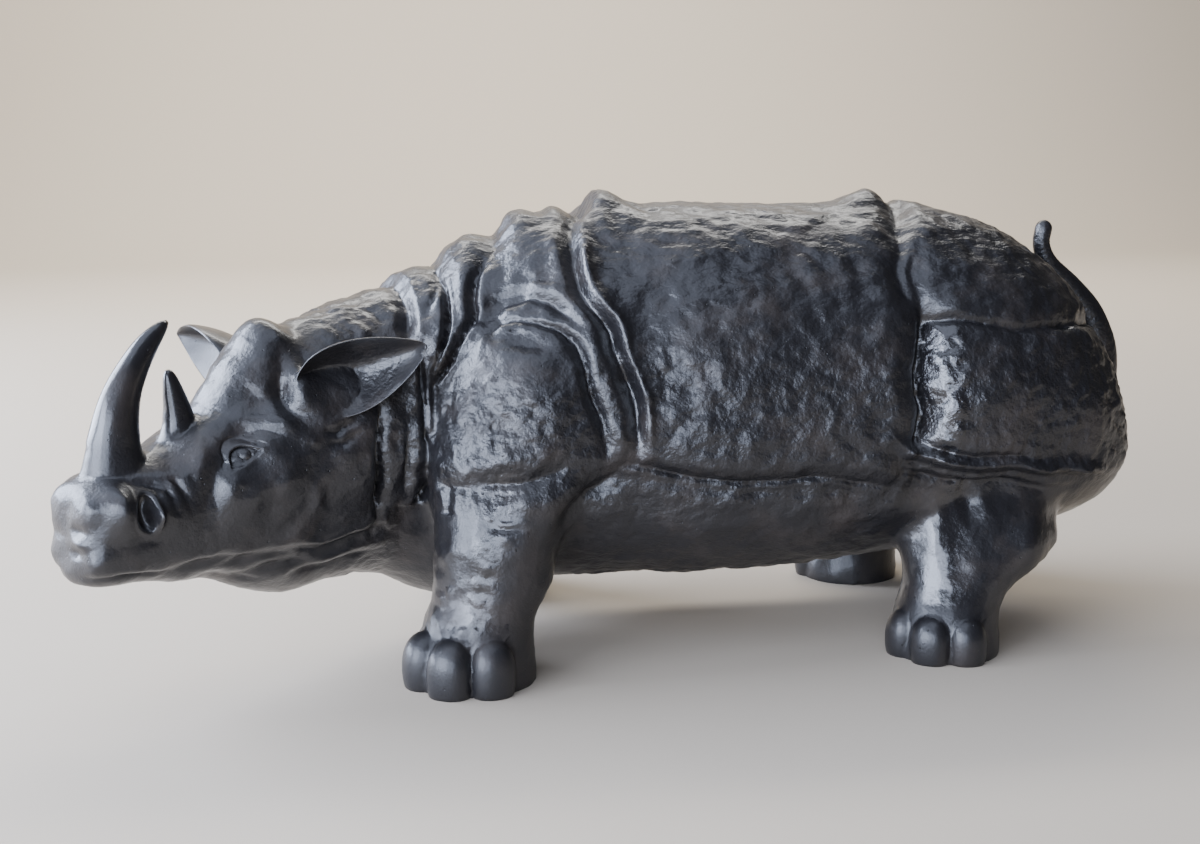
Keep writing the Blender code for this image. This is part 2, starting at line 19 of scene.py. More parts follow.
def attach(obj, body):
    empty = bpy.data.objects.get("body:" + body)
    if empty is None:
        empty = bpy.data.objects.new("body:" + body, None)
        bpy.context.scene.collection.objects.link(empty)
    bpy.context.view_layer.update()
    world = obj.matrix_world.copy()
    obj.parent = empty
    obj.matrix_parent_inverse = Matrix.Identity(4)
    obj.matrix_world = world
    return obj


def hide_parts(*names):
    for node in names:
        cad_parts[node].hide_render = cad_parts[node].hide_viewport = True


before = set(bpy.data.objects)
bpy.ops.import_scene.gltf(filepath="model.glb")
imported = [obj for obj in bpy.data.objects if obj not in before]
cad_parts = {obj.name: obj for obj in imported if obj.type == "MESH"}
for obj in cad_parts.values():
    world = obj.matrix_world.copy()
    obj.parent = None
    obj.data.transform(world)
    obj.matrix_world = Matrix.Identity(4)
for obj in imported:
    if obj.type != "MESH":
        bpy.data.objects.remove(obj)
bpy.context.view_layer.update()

bl_info = {
    "name": "Ceramic rhinoceros",
    "version": (1, 0, 0),
    "blender": (4, 5, 0),
    "location": "View3D > Sidebar > Rhinoceros",
    "description": "Models a black-glazed ceramic rhinoceros figurine and a studio round it",
    "category": "Add Mesh",
}

# x, top, bottom above the belly line, half width, widest height, fullness above, fullness below
TRUNK_STATIONS = (
    (0.469, 0.490, 0.235, 0.30, 0.390, 2.0, 2.0),
    (0.461, 0.586, 0.175, 0.54, 0.415, 2.0, 2.0),
    (0.444, 0.694, 0.118, 0.73, 0.440, 2.0, 2.0),
    (0.408, 0.824, 0.080, 0.87, 0.460, 2.0, 2.0),
    (0.366, 0.900, 0.056, 0.95, 0.475, 2.1, 2.0),
    (0.324, 0.943, 0.042, 0.99, 0.480, 2.1, 2.0),
    (0.267, 0.963, 0.028, 0.97, 0.480, 2.1, 2.1),
    (0.209, 0.968, 0.015, 0.99, 0.480, 2.1, 2.2),
    (0.137, 0.970, 0.004, 1.00, 0.475, 2.1, 2.2),
    (0.058, 0.973, 0.000, 0.99, 0.475, 2.1, 2.2),
    (-0.007, 0.968, 0.000, 0.95, 0.480, 2.0, 2.1),
    (-0.058, 0.950, -0.004, 0.91, 0.480, 1.9, 2.0),
    (-0.101, 0.908, -0.014, 0.83, 0.480, 1.8, 2.0),
    (-0.137, 0.860, -0.044, 0.74, 0.480, 1.8, 1.9),
    (-0.173, 0.820, -0.026, 0.65, 0.480, 1.8, 1.8),
    (-0.209, 0.790, 0.020, 0.60, 0.480, 1.9, 1.7),
    (-0.245, 0.772, 0.036, 0.57, 0.480, 1.9, 1.7),
    (-0.274, 0.750, 0.034, 0.54, 0.475, 1.8, 1.6),
    (-0.305, 0.750, 0.026, 0.50, 0.460, 1.7, 1.6),
    (-0.329, 0.728, 0.040, 0.47, 0.450, 1.8, 1.7),
    (-0.350, 0.672, 0.062, 0.44, 0.440, 1.9, 1.8),
    (-0.372, 0.606, 0.090, 0.41, 0.425, 2.1, 1.9),
    (-0.393, 0.553, 0.104, 0.37, 0.415, 2.2, 2.0),
    (-0.418, 0.524, 0.114, 0.325, 0.395, 2.0, 2.2),
    (-0.447, 0.508, 0.130, 0.295, 0.380, 2.0, 2.3),
    (-0.467, 0.495, 0.134, 0.276, 0.375, 2.2, 2.8),
    (-0.480, 0.486, 0.137, 0.258, 0.370, 2.5, 3.1),
    (-0.488, 0.477, 0.143, 0.232, 0.366, 2.7, 3.2),
    (-0.4915, 0.466, 0.152, 0.198, 0.362, 2.7, 3.1),
    (-0.4935, 0.444, 0.173, 0.136, 0.358, 2.4, 2.7),
    (-0.4945, 0.410, 0.212, 0.050, 0.355, 2.1, 2.2),
)
# height, x, sideways in shares of half the stance, radius along and across in foot widths
FORE_STATIONS = (
    (0.700, -0.065, 0.58, 0.62, 0.46),
    (0.588, -0.069, 0.68, 0.77, 0.53),
    (0.440, -0.086, 0.79, 0.74, 0.50),
    (0.368, -0.097, 0.86, 0.62, 0.46),
    (0.298, -0.111, 0.92, 0.50, 0.43),
    (0.202, -0.116, 0.96, 0.465, 0.405),
    (0.155, -0.124, 0.99, 0.425, 0.39),
    (0.125, -0.129, 1.00, 0.430, 0.41),
    (0.085, -0.132, 1.00, 0.455, 0.44),
    (0.045, -0.134, 1.00, 0.485, 0.470),
    (0.010, -0.134, 1.00, 0.500, 0.485),
    (-0.020, -0.134, 1.00, 0.49, 0.47),
)
HIND_STATIONS = (
    (0.700, 0.343, 0.50, 0.78, 0.62),
    (0.551, 0.350, 0.60, 0.88, 0.66),
    (0.440, 0.352, 0.64, 0.93, 0.58),
    (0.374, 0.340, 0.70, 0.80, 0.47),
    (0.322, 0.316, 0.77, 0.68, 0.41),
    (0.275, 0.311, 0.83, 0.69, 0.39),
    (0.235, 0.312, 0.88, 0.69, 0.39),
    (0.195, 0.304, 0.92, 0.60, 0.39),
    (0.160, 0.292, 0.96, 0.48, 0.38),
    (0.130, 0.283, 0.98, 0.43, 0.38),
    (0.104, 0.279, 1.00, 0.42, 0.40),
    (0.075, 0.277, 1.00, 0.43, 0.42),
    (0.040, 0.276, 1.00, 0.45, 0.44),
    (0.010, 0.276, 1.00, 0.46, 0.45),
    (-0.020, 0.276, 1.00, 0.45, 0.44),
)
FAR_STEP = 0.046    # the right forefoot stands this share of the body length further back
FORE_SPLAY = math.radians(62)
HIND_SPLAY = math.radians(54)
HIND_TOES = 0.90    # the hind toes are smaller than the fore ones by this share
# The toes of one foot: turn from the foot's heading in degrees, reach and half width in foot widths
TOES = ((-46, 0.365, 0.178), (-2, 0.385, 0.186), (42, 0.375, 0.182))
# x, z, which horn, lean at the root and at the tip, flare at the root in radii and its height as a
# share of the length, bluntness
HORNS = (
    (-0.450, 0.455, "front_horn", math.radians(-10), math.radians(55), 0.75, 0.20, 0.44),
    (-0.394, 0.515, "rear_horn", math.radians(-2), math.radians(-16), 1.15, 0.22, 0.36),
)
# side, place of the root, then how far the ear sweeps back and how far it rises
EARS = (
    (-1, (-0.322, 0.404, 0.605), math.radians(56), math.radians(22)),
    (1, (-0.320, 0.404, 0.612), math.radians(16), math.radians(15)),
)
# x, z and radius of the tail in shares of the radius at its tip
TAIL_STATIONS = (
    (0.455, 0.420, 2.2),
    (0.469, 0.500, 2.4),
    (0.472, 0.560, 2.4),
    (0.471, 0.615, 2.3),
    (0.466, 0.662, 2.1),
    (0.457, 0.712, 1.8),
    (0.4400, 0.766, 1.45),
    (0.4180, 0.822, 1.15),
    (0.4100, 0.868, 1.0),
    (0.4115, 0.905, 1.0),
)

# Folds. Each runs with its raised roll on its left: groove, roll and sharp crease in fold depths, width
# in fold widths, how far the roll runs back in widths, then x and z points in thousandths
TRUNK_FOLDS = (
    # the long fold behind the shoulder, from the crest down to the armpit, and the torn lip along it
    (0.9, 0.5, 0.4, 0.8, 2.4, (-12, 1040), (-22, 975), (-40, 925), (-43, 868), (-40, 814), (-30, 768),
     (-21, 724), (-13, 672), (-7, 620), (-3, 559), (2, 478)),
    (0.0, 0.9, 0.0, 0.75, 0.6, (-36, 930), (-41, 868), (-38, 814), (-29, 768), (-19, 724), (-12, 672),
     (-7, 620), (-2, 559), (2, 478)),
    # the ribbon inside it, which starts as the lowest arc over the shoulder
    (0.6, 0.3, 0.5, 0.6, 2.0, (-112, 712), (-104, 736), (-91, 744), (-73, 742), (-58, 729), (-48, 704),
     (-42, 665), (-37, 612), (-31, 555), (-26, 474)),
    # arcs over the shoulder plate, which lie like shingles
    (0.5, 0.6, 0.3, 0.8, 1.6, (-120, 735), (-101, 774), (-83, 791), (-66, 787), (-52, 764), (-44, 735)),
    (0.7, 0.3, 0.2, 1.3, 1.5, (-50, 800), (-62, 826), (-79, 822), (-98, 800), (-112, 768), (-124, 728)),
    (0.6, 0.3, 0.3, 0.9, 1.0, (-62, 752), (-74, 765), (-88, 764), (-100, 750)),
    (0.4, 0.3, 0.2, 0.9, 1.2, (-108, 690), (-91, 702), (-70, 700), (-56, 680)),
    # the smooth roll above the crease at the bottom of the shoulder plate
    (0.5, 0.5, 0.3, 1.1, 1.5, (-168, 414), (-125, 424), (-81, 436), (-55, 452)),
    # the back of the foreleg against the belly
    (0.8, 0.3, 0.4, 1.3, 2.0, (-64, 220), (-65, 271), (-56, 337), (-34, 396), (-10, 445)),
    # the long flank line above the belly, and the hollow below it
    (0.6, 0.5, 0.6, 1.0, 3.0, (-10, 450), (33, 427), (70, 409), (143, 405), (186, 390), (212, 383)),
    # across the back in front of the rump, then down the front of the thigh plate
    (0.9, 0.6, 0.3, 1.3, 2.5, (258, 1040), (255, 965), (246, 922), (234, 843), (237, 790), (248, 746)),
    (1.0, 0.9, 0.9, 1.6, 4.0, (250, 752), (244, 681), (242, 594), (242, 500), (234, 440)),
    # the level fold over the thigh plate
    (0.5, 0.2, 0.6, 0.8, 3.0, (249, 742), (268, 731), (330, 718), (390, 720), (440, 700)),
    # the heavy lower lip of the thigh plate, with the leg set back below it
    (0.2, 1.9, 0.2, 0.85, 0.6, (214, 462), (226, 438), (262, 418), (307, 408), (348, 394), (390, 376),
     (430, 366)),
    (0.5, 0.1, 0.5, 0.6, 1.0, (240, 470), (268, 457), (307, 448), (352, 430)),
    # two tendons of the calf, each a rounded ridge beside a groove
    (1.3, 1.6, 0.2, 0.8, 0.8, (312, 209), (300, 255), (290, 315), (283, 365)),
    (1.1, 1.3, 0.2, 0.7, 0.8, (305, 172), (296, 210), (288, 260)),
    # the back edge of the calf
    (0.6, 0.4, 0.1, 1.1, 1.5, (322, 180), (330, 230), (338, 330)),
    # the ankle creases, and one above the knee
    (0.8, 0.8, 0.6, 0.55, 1.6, (-165, 165), (-140, 166), (-116, 160), (-90, 166)),
    (0.3, 0.3, 0.4, 0.45, 1.0, (-150, 140), (-125, 138), (-105, 144)),
    (0.8, 0.8, 0.6, 0.55, 1.6, (240, 144), (265, 137), (300, 124)),
    (0.3, 0.2, 0.3, 0.45, 1.0, (-120, 335), (-108, 328), (-98, 332)),
)
# Edges where the skin on the line's right is set back: drop in fold depths, how far it reaches in fold
# widths, then x and z points in thousandths
LEDGES = (
    (2.1, 4.5, (218, 446), (230, 424), (262, 405), (307, 394), (348, 380), (390, 362), (430, 352)),
    (0.8, 5.0, (-30, 435), (33, 417), (70, 400), (143, 396), (186, 380), (212, 373)),
    (0.4, 3.0, (-168, 404), (-125, 414), (-81, 424)),
    (1.0, 2.5, (228, 440), (236, 500), (236, 594), (238, 681), (243, 752), (242, 843), (258, 900)),
    (0.5, 1.5, (-80, 160), (-116, 155), (-140, 161), (-170, 160)),
    (0.5, 1.5, (320, 116), (300, 117), (265, 129), (236, 137)),
)
HEAD_FOLDS = (
    # the deep grooves between the rolls of the neck, each across the nape
    (0.6, 0.8, 0.8, 0.36, 6.0, (-180, 640), (-172, 655), (-165, 684), (-157, 712), (-152, 745), (-149, 796),
     (-152, 818)),
    (0.5, 0.1, 0.1, 1.0, 1.0, (-150, 790), (-152, 830), (-150, 1000)),
    (0.7, 0.8, 0.9, 0.36, 6.5, (-186, 605), (-158, 658), (-142, 700), (-128, 735), (-124, 780), (-119, 815),
     (-110, 850)),
    (0.7, 0.1, 0.1, 1.0, 1.0, (-114, 835), (-102, 890), (-98, 1050)),
    (0.3, 0.2, 0.4, 0.45, 1.0, (-176, 745), (-162, 776), (-155, 800)),
    # the ridge at the edge of the nape, behind the ear
    (0.6, 0.7, 0.2, 0.9, 1.4, (-186, 860), (-193, 775), (-199, 725), (-210, 680)),
    # the fold behind the jowl and the jowl's own edge
    (0.9, 0.5, 0.7, 0.7, 2.5, (-222, 301), (-213, 344), (-207, 434), (-205, 560), (-198, 640), (-190, 684)),
    (0.3, 0.7, 0.1, 0.8, 1.2, (-196, 440), (-190, 560), (-180, 655)),
    (0.8, 0.5, 0.9, 0.6, 3.0, (-259, 320), (-262, 404), (-264, 489), (-260, 580)),
    (0.4, 0.4, 0.2, 0.6, 1.0, (-235, 400), (-236, 470), (-234, 540)),
    # the mouth and the skin below the jaw
    (0.2, 0.2, 0.4, 0.45, 1.0, (-495, 305), (-470, 301), (-450, 297), (-430, 296)),
    (0.5, 0.4, 0.3, 0.8, 1.0, (-430, 290), (-408, 300), (-380, 304)),
    (0.5, 0.4, 0.3, 0.8, 1.0, (-392, 282), (-355, 294), (-325, 284)),
    (0.5, 0.5, 0.3, 0.8, 1.0, (-335, 304), (-305, 284), (-268, 300), (-240, 318)),
    (0.5, 0.4, 0.3, 0.7, 1.0, (-372, 260), (-340, 268), (-305, 256)),
    (0.5, 0.4, 0.3, 0.7, 1.0, (-405, 262), (-378, 254), (-350, 238)),
    (0.5, 0.4, 0.3, 0.7, 1.0, (-322, 238), (-290, 234), (-252, 262)),
    # the roll of the brow, round the inner corner of the eye and on over the lid
    (0.2, 0.9, 0.1, 0.9, 1.2, (-400, 440), (-398, 474), (-390, 500), (-381, 533), (-371, 548), (-358, 553),
     (-345, 546), (-334, 535)),
    # the edge of the flat forehead
    (0.0, 0.8, 0.0, 1.2, 1.5, (-398, 560), (-384, 575), (-371, 590), (-356, 616), (-344, 645), (-337, 690)),
    (1.3, 0.0, 0.0, 1.6, 1.0, (-388, 550), (-372, 562), (-354, 586), (-341, 616), (-334, 655)),
    # the deep crease between the forehead and the root of the ear
    (1.4, 0.6, 0.6, 0.8, 1.4, (-322, 690), (-329, 650), (-331, 622), (-329, 590), (-322, 565)),
    # wrinkles under the ear
    (0.3, 0.3, 0.3, 0.5, 1.0, (-320, 545), (-300, 535), (-282, 555)),
    (0.3, 0.3, 0.3, 0.5, 1.0, (-314, 520), (-296, 510), (-280, 530)),
    # wrinkles round the nostril
    (0.25, 0.3, 0.3, 0.45, 1.0, (-463, 476), (-448, 480), (-434, 462), (-430, 420)),
    (0.2, 0.25, 0.3, 0.45, 1.0, (-440, 487), (-425, 468), (-420, 420)),
)
# Bumps on the top line: x, lift in fold depths, reach to the front, to the rear and sideways
CREST_BUMPS = (
    (-0.322, 1.0, 0.018, 0.014, 0.20),
    (-0.296, -0.8, 0.012, 0.012, 0.30),
    (-0.168, 0.6, 0.012, 0.008, 0.34),
    (-0.124, 1.5, 0.022, 0.018, 0.40),
    (-0.078, 1.7, 0.014, 0.014, 0.34),
    (-0.044, 0.6, 0.010, 0.010, 0.22),
    (-0.006, 1.7, 0.012, 0.022, 0.22),
    (0.249, 2.2, 0.034, 0.010, 0.17),
)
# Swellings and hollows on both sides of the head: x, z, reach along x and z, lift in fold depths
FACE_FORMS = (
    (-0.468, 0.430, 0.0100, 0.040, 1.5),     # the swollen front wing of the nostril
    (-0.484, 0.425, 0.0050, 0.032, -0.3),    # the hollow in front of it
    (-0.434, 0.425, 0.0070, 0.045, 0.4),     # its rear rim
    (-0.452, 0.370, 0.0250, 0.020, -0.4),    # the hollow above the lip
    (-0.370, 0.506, 0.0160, 0.034, -0.8),    # eye socket
    (-0.389, 0.440, 0.0070, 0.028, 0.4),     # the bag below the inner corner of the eye
    (-0.372, 0.425, 0.0100, 0.030, 0.4),
    (-0.358, 0.400, 0.0080, 0.026, -0.3),
    (-0.344, 0.452, 0.0080, 0.026, 0.4),
    (-0.330, 0.330, 0.0120, 0.030, 0.5),
    (-0.320, 0.400, 0.0060, 0.035, 0.6),     # cheek ridge
    (-0.405, 0.420, 0.0120, 0.060, -0.8),    # the hollow between muzzle and cheek
    (-0.345, 0.440, 0.0220, 0.050, 0.5),     # the cheek bone
    (-0.290, 0.430, 0.0180, 0.090, 0.6),     # the jowl
    (-0.352, 0.595, 0.0120, 0.030, -0.8),    # the temple above the eye
    (-0.310, 0.690, 0.0120, 0.030, -0.7),    # behind the forehead knob
    (-0.490, 0.335, 0.0100, 0.022, 0.5),     # the full lower edge of the upper lip
)
# The same on the flat front of the muzzle: y, z, reach along y and z, lift
MUZZLE_FORMS = (
    (-0.22, 0.450, 0.070, 0.030, 0.7),       # the tops of the nostrils
    (0.22, 0.450, 0.070, 0.030, 0.7),
    (0.00, 0.420, 0.060, 0.050, -0.3),       # the dip between them
    (-0.10, 0.394, 0.060, 0.009, -0.5),      # wrinkles of the upper lip
    (-0.13, 0.372, 0.060, 0.009, 0.4),
    (-0.08, 0.350, 0.050, 0.009, -0.4),
    (0.12, 0.380, 0.070, 0.012, -0.3),
    (0.00, 0.300, 0.120, 0.030, 0.4),
)
# Places on the body, both sides: x, z, reach along x and z, lift in fold depths
BODY_FORMS = (
    (0.343, 0.255, 0.0160, 0.060, 1.0),      # the calf, which ends as the hock
    (0.262, 0.290, 0.0100, 0.100, 0.6),      # the shin
    (0.300, 0.560, 0.0500, 0.130, 0.8),      # the swell of the thigh plate
    (-0.085, 0.620, 0.0300, 0.090, 0.5),     # the point of the shoulder
    (-0.050, 0.780, 0.0120, 0.060, -0.5),
    (0.006, 0.640, 0.0350, 0.220, -1.0),     # the hollow behind the long fold
)
# Strips where the glaze ran thick: strength, how puckered the skin is, half width in metres, then x and
# z points in thousandths
WET_STRIPS = (
    (1.0, 1.0, 0.012, (258, 700), (261, 600), (262, 520), (260, 450)),
    (0.9, 0.15, 0.01, (278, 385), (274, 310), (266, 235), (262, 150)),
    (0.6, 0.0, 0.0045, (247, 330), (243, 290)),
    (0.8, 0.6, 0.0085, (-110, 425), (-114, 360), (-123, 300), (-130, 236), (-134, 165)),
    (0.5, 0.0, 0.008, (-40, 900), (-36, 780), (-12, 660), (-2, 500)),
)
EYE = (-0.371, 0.501)
LID_SLANT = math.radians(27)
NOSTRIL = (-0.450, 0.421)
NOSTRIL_REACH = 0.019    # m
HEAD_INSIDE = 0.01       # m each side of the head's middle that eyes and nostrils leave alone
EAR_OPENING = (-0.50, 0.82, -0.05)    # the way its cup looks, with the second value outwards

# Where the neck turns, in shares of the body length
NECK_START = -0.130
NECK_SHARE = 0.115
RING_POINTS = 48
RING_STEP = 0.008        # m between the rings of a loft
LINE_STEP = 0.02         # between the points of a smoothed line, as a share
BODY_VOXEL = 0.0034      # m
BODY_ROUNDS = 12         # of smoothing over the joins of trunk and legs
TRIANGLES = 192000
NOISE_SEED = 1           # without a seed, the clock would set how the folds wander
# The floor point under the middle of the solid, in the frame that the stations are written in
MIDDLE = (0.0125, -0.0067)

# Soft lamps of the window's colour: name, place, the point it faces, width and height, power
WINDOW_LAMPS = (
    ("window_behind", (-1.75, 0.55, 0.88), (0, 0, 0.12), (1.6, 1.6), 200),
    ("window_front", (-1.75, -1.15, 0.62), (0, 0, 0.12), (1.3, 1.2), 92),
    ("room", (-0.95, -2.3, 0.62), (0, 0, 0.12), (1.7, 1.2), 58),
    ("sky", (-0.5, -0.6, 2.3), (0, 0, 0.15), (2.6, 2.0), 36),
)
BACKDROP_LAMP = ("backdrop", (0.2, 2.0, 2.4), (0.2, 3.2, 0.0), (3.0, 1.2), 200)
AIR_LIGHT = 0.06
PAPER_REACH = 4.0        # m from the middle to each edge of the floor, and up the backdrop
PAPER_BEND = 1.2         # radius of the sweep between them
CAMERA_PLACE = (-0.1966, -0.9515, 0.308)
CAMERA_DOWN = 10.343     # degrees below level
CAMERA_RIGHT = 10.7      # degrees to the right of straight ahead
CAMERA_LENS = 48         # mm, on film 36 mm wide
CAMERA_FILM = 36


def linear(code):
    """A colour written as sRGB hex, as the linear values that shaders and lights take."""
    channels = [int(code[start:start + 2], 16) / 255 for start in (0, 2, 4)]
    return tuple(c / 12.92 if c <= 0.04045 else ((c + 0.055) / 1.055) ** 2.4 for c in channels)


def length(name, text, default):
    return bpy.props.FloatProperty(name=name, description=text, default=default, min=0.0002, precision=4,
                                   unit="LENGTH", subtype="DISTANCE")


def colour(name, text, code):
    return bpy.props.FloatVectorProperty(name=name, description=text, default=linear(code), size=3,
                                         min=0, max=1, subtype="COLOR")


class RhinocerosSizes(bpy.types.PropertyGroup):
    body_length: length("Body length", "Upper lip to rump, along the bent spine", 0.694)
    height: length("Height", "Floor to the fold behind the shoulders", 0.272)
    trunk_width: length("Trunk width", "Across the belly", 0.208)
    belly_clearance: length("Belly clearance", "Floor to the belly", 0.038)
    stance: length("Stance", "Between the left and right foot centres", 0.172)
    foot_width: length("Foot width", "Across one foot", 0.074)
    toe_height: length("Toe height", "Floor to the top of a toe", 0.031)
    front_horn_length: length("Front horn length", "Along its curve", 0.096)
    front_horn_radius: length("Front horn radius", "Above its flare", 0.0132)
    rear_horn_length: length("Rear horn length", "Along its curve", 0.043)
    rear_horn_radius: length("Rear horn radius", "Above its flare", 0.0085)
    ear_length: length("Ear length", "Root to tip", 0.074)
    ear_width: length("Ear width", "Across the leaf", 0.034)
    ear_wall: length("Ear wall", "Thickness of the leaf", 0.0055)
    tail_radius: length("Tail radius", "At the tip", 0.0054)
    eye_length: length("Eye length", "Corner to corner between the lids", 0.0185)
    fold_depth: length("Fold depth", "Of the main skin folds", 0.0045)
    fold_width: length("Fold width", "Half the width of a groove or lip", 0.0065)
    wrinkle_depth: length("Wrinkle depth", "Of the crumpled skin between the folds", 0.0015)
    head_turn: bpy.props.FloatProperty(name="Head turn", description="To the animal's left",
                                       default=math.radians(36), subtype="ANGLE")


class RhinocerosFinish(bpy.types.PropertyGroup):
    glaze: colour("Glaze", "Black glaze where it lies thick", "1a191b")
    worn_glaze: colour("Worn glaze", "Where it is thin over the clay", "2c2725")
    # painted shade: the pit bottoms get a colour darker than the glaze, standing for the shade inside the
    # pits
    pinhole_shade: colour("Pinholes", "The bottoms of the pits in the glaze", "0a0a0a")
    floor: colour("Floor", "Studio floor and backdrop", "b0a493")
    window: colour("Window light", "Cool light from the left", "d6e2fb")
    lamp: colour("Lamp light", "Warm light on the backdrop", "fffdf9")
    air: colour("Air light", "Faint warm light from all round", "fffaf6")


def spot(x, y, z, sizes):
    """A place given in shares of the body length, half the trunk width and the height."""
    return x * sizes.body_length, y * sizes.trunk_width / 2, z * sizes.height


def shares(points, sizes):
    """The x, y and z of many points, each as such shares."""
    return points.T / np.array([[sizes.body_length], [sizes.trunk_width / 2], [sizes.height]])


def smooth_rows(rows, step):
    """Smooth rows through the given ones, with the first two values about one step apart."""
    rows = np.array(rows, dtype=float)
    ends = np.vstack((2 * rows[0] - rows[1], rows, 2 * rows[-1] - rows[-2]))
    smooth = []
    for before, start, end, after in zip(ends, ends[1:], ends[2:], ends[3:]):
        count = max(1, round(float(np.linalg.norm(end[:2] - start[:2])) / step))
        for index in range(count):
            t = index / count
            smooth.append(0.5 * (2 * start + (end - before) * t
                                 + (2 * before - 5 * start + 4 * end - after) * t ** 2
                                 + (3 * start - before - 3 * end + after) * t ** 3))
    smooth.append(rows[-1])
    return np.array(smooth)


def side_line(points, sizes):
    """A smooth line in the side view through points given in thousandths of the length and height."""
    return smooth_rows(np.array(points) / 1000, LINE_STEP) * (sizes.body_length, sizes.height)


def ramp(values, start, end):
    """0 at start and 1 at end, with soft shoulders."""
    t = np.clip((values - start) / (end - start), 0, 1)
    return t * t * (3 - 2 * t)


def bell(values):
    """1 at zero, falling away softly on both sides."""
    return np.exp(-values ** 2)


def mound(across, up, place):
    """A round swelling, 1 at its middle; place gives the middle and then the reach each way."""
    middle, level, wide, high = place
    return np.exp(-((across - middle) / wide) ** 2 - ((up - level) / high) ** 2)


def bend(point, sizes):
    """Turn a point of the straight neck and head to the animal's left."""
    start = NECK_START * sizes.body_length
    reach = NECK_SHARE * sizes.body_length
    radius = reach / sizes.head_turn
    ahead = start - point[0]
    angle = sizes.head_turn * min(max(ahead / reach, 0.0), 1.0)
    beyond = ahead - min(max(ahead, 0.0), reach)
    out = radius + point[1]
    return Vector((start - out * math.sin(angle) - beyond * math.cos(angle),
                   out * math.cos(angle) - radius - beyond * math.sin(angle),
                   point[2]))


def straighten(points, normals, sizes):
    """Places and normals of neck and head points before bend(), for whole arrays at once."""
    turn = sizes.head_turn
    start = NECK_START * sizes.body_length
    radius = NECK_SHARE * sizes.body_length / turn
    across = points[:, 1] + radius
    ahead = start - points[:, 0]
    angle = np.clip(np.arctan2(ahead, across), 0.0, turn)
    beyond = np.where(angle >= turn, ahead * math.cos(turn) - across * math.sin(turn), 0.0)
    beyond = np.where(ahead < 0, ahead, beyond)
    out = np.where(ahead < 0, across, ahead * np.sin(angle) + across * np.cos(angle))
    places = np.column_stack((start - angle * radius - beyond, out - radius, points[:, 2]))
    sines, cosines = np.sin(angle), np.cos(angle)
    facing = np.column_stack((normals[:, 0] * cosines + normals[:, 1] * sines,
                              normals[:, 1] * cosines - normals[:, 0] * sines, normals[:, 2]))
    return places, facing


def around(count):
    """The cosines and sines of a full turn."""
    return [(math.cos(2 * math.pi * index / count), math.sin(2 * math.pi * index / count))
            for index in range(count)]


def loft(bm, rings):
    """A closed skin: circles moved onto the rings, bridged in order and capped at both ends."""
    circles = []
    for ring in rings:
        corners = bmesh.ops.create_circle(bm, segments=len(ring), radius=1)["verts"]
        for corner, place in zip(corners, ring):
            corner.co = place
        # each edge once, in the order of the corners
        circles.append(list(dict.fromkeys(edge for corner in corners for edge in corner.link_edges)))
    for circle, following in zip(circles, circles[1:]):
        bmesh.ops.bridge_loops(bm, edges=circle + following)
    for end in (circles[0], circles[-1]):
        bmesh.ops.contextual_create(bm, geom=end)


def trunk_ring(row, sizes):
    """A cross-section of trunk, neck or head: an oval whose upper and lower half differ."""
    x, top, bottom, half, widest, above, below = row
    top *= sizes.height
    bottom = sizes.belly_clearance + bottom * sizes.height
    widest *= sizes.height
    half *= sizes.trunk_width / 2
    ring = []
    for cosine, sine in around(RING_POINTS):
        fullness = above if sine > 0 else below
        reach = top - widest if sine > 0 else widest - bottom
        ring.append(bend((x * sizes.body_length,
                          half * math.copysign(abs(cosine) ** (2 / fullness), cosine),
                          widest + reach * math.copysign(abs(sine) ** (2 / fullness), sine)), sizes))
    return ring


def add_trunk(bm, sizes):
    rows = smooth_rows(TRUNK_STATIONS, RING_STEP / sizes.body_length)
    loft(bm, [trunk_ring(row, sizes) for row in rows])


def add_leg(bm, sizes, stations, side, step):
    """A leg; side is -1 on the left, and step moves the foot back by a share of the body length."""
    rings = []
    for height, x, sideways, along, across in smooth_rows(stations, RING_STEP / sizes.height)[::-1]:
        lowered = 1 - min(max(height / stations[0][0], 0), 1)
        centre = Vector(((x + step * lowered) * sizes.body_length, side * sideways * sizes.stance / 2,
                         height * sizes.height))
        rings.append([centre + Vector((along * cosine, across * sine, 0)) * sizes.foot_width
                      for cosine, sine in around(RING_POINTS)])
    loft(bm, rings)


def add_toe(bm, sizes, x, side, scale, heading, reach, width):
    """A full, rather square toe in the direction that it points from the middle of the foot."""
    fullness = 2.35
    foot, tall = sizes.foot_width * scale, sizes.toe_height * scale ** 1.3
    ahead = Vector((-math.cos(heading), side * math.sin(heading), 0))
    centre = Vector((x * sizes.body_length, side * sizes.stance / 2, tall * 0.34)) + ahead * foot * reach
    made = bmesh.ops.create_icosphere(bm, subdivisions=4, radius=1)["verts"]
    for vertex in made:
        vertex.co *= sum(abs(value) ** fullness for value in vertex.co) ** (-1 / fullness)
    size = Matrix.Diagonal((foot * 0.20, foot * width, tall * 0.68, 1))
    turn = Matrix.Rotation(math.atan2(ahead.y, ahead.x), 4, "Z")
    bmesh.ops.transform(bm, matrix=Matrix.Translation(centre) @ turn @ size, verts=made)


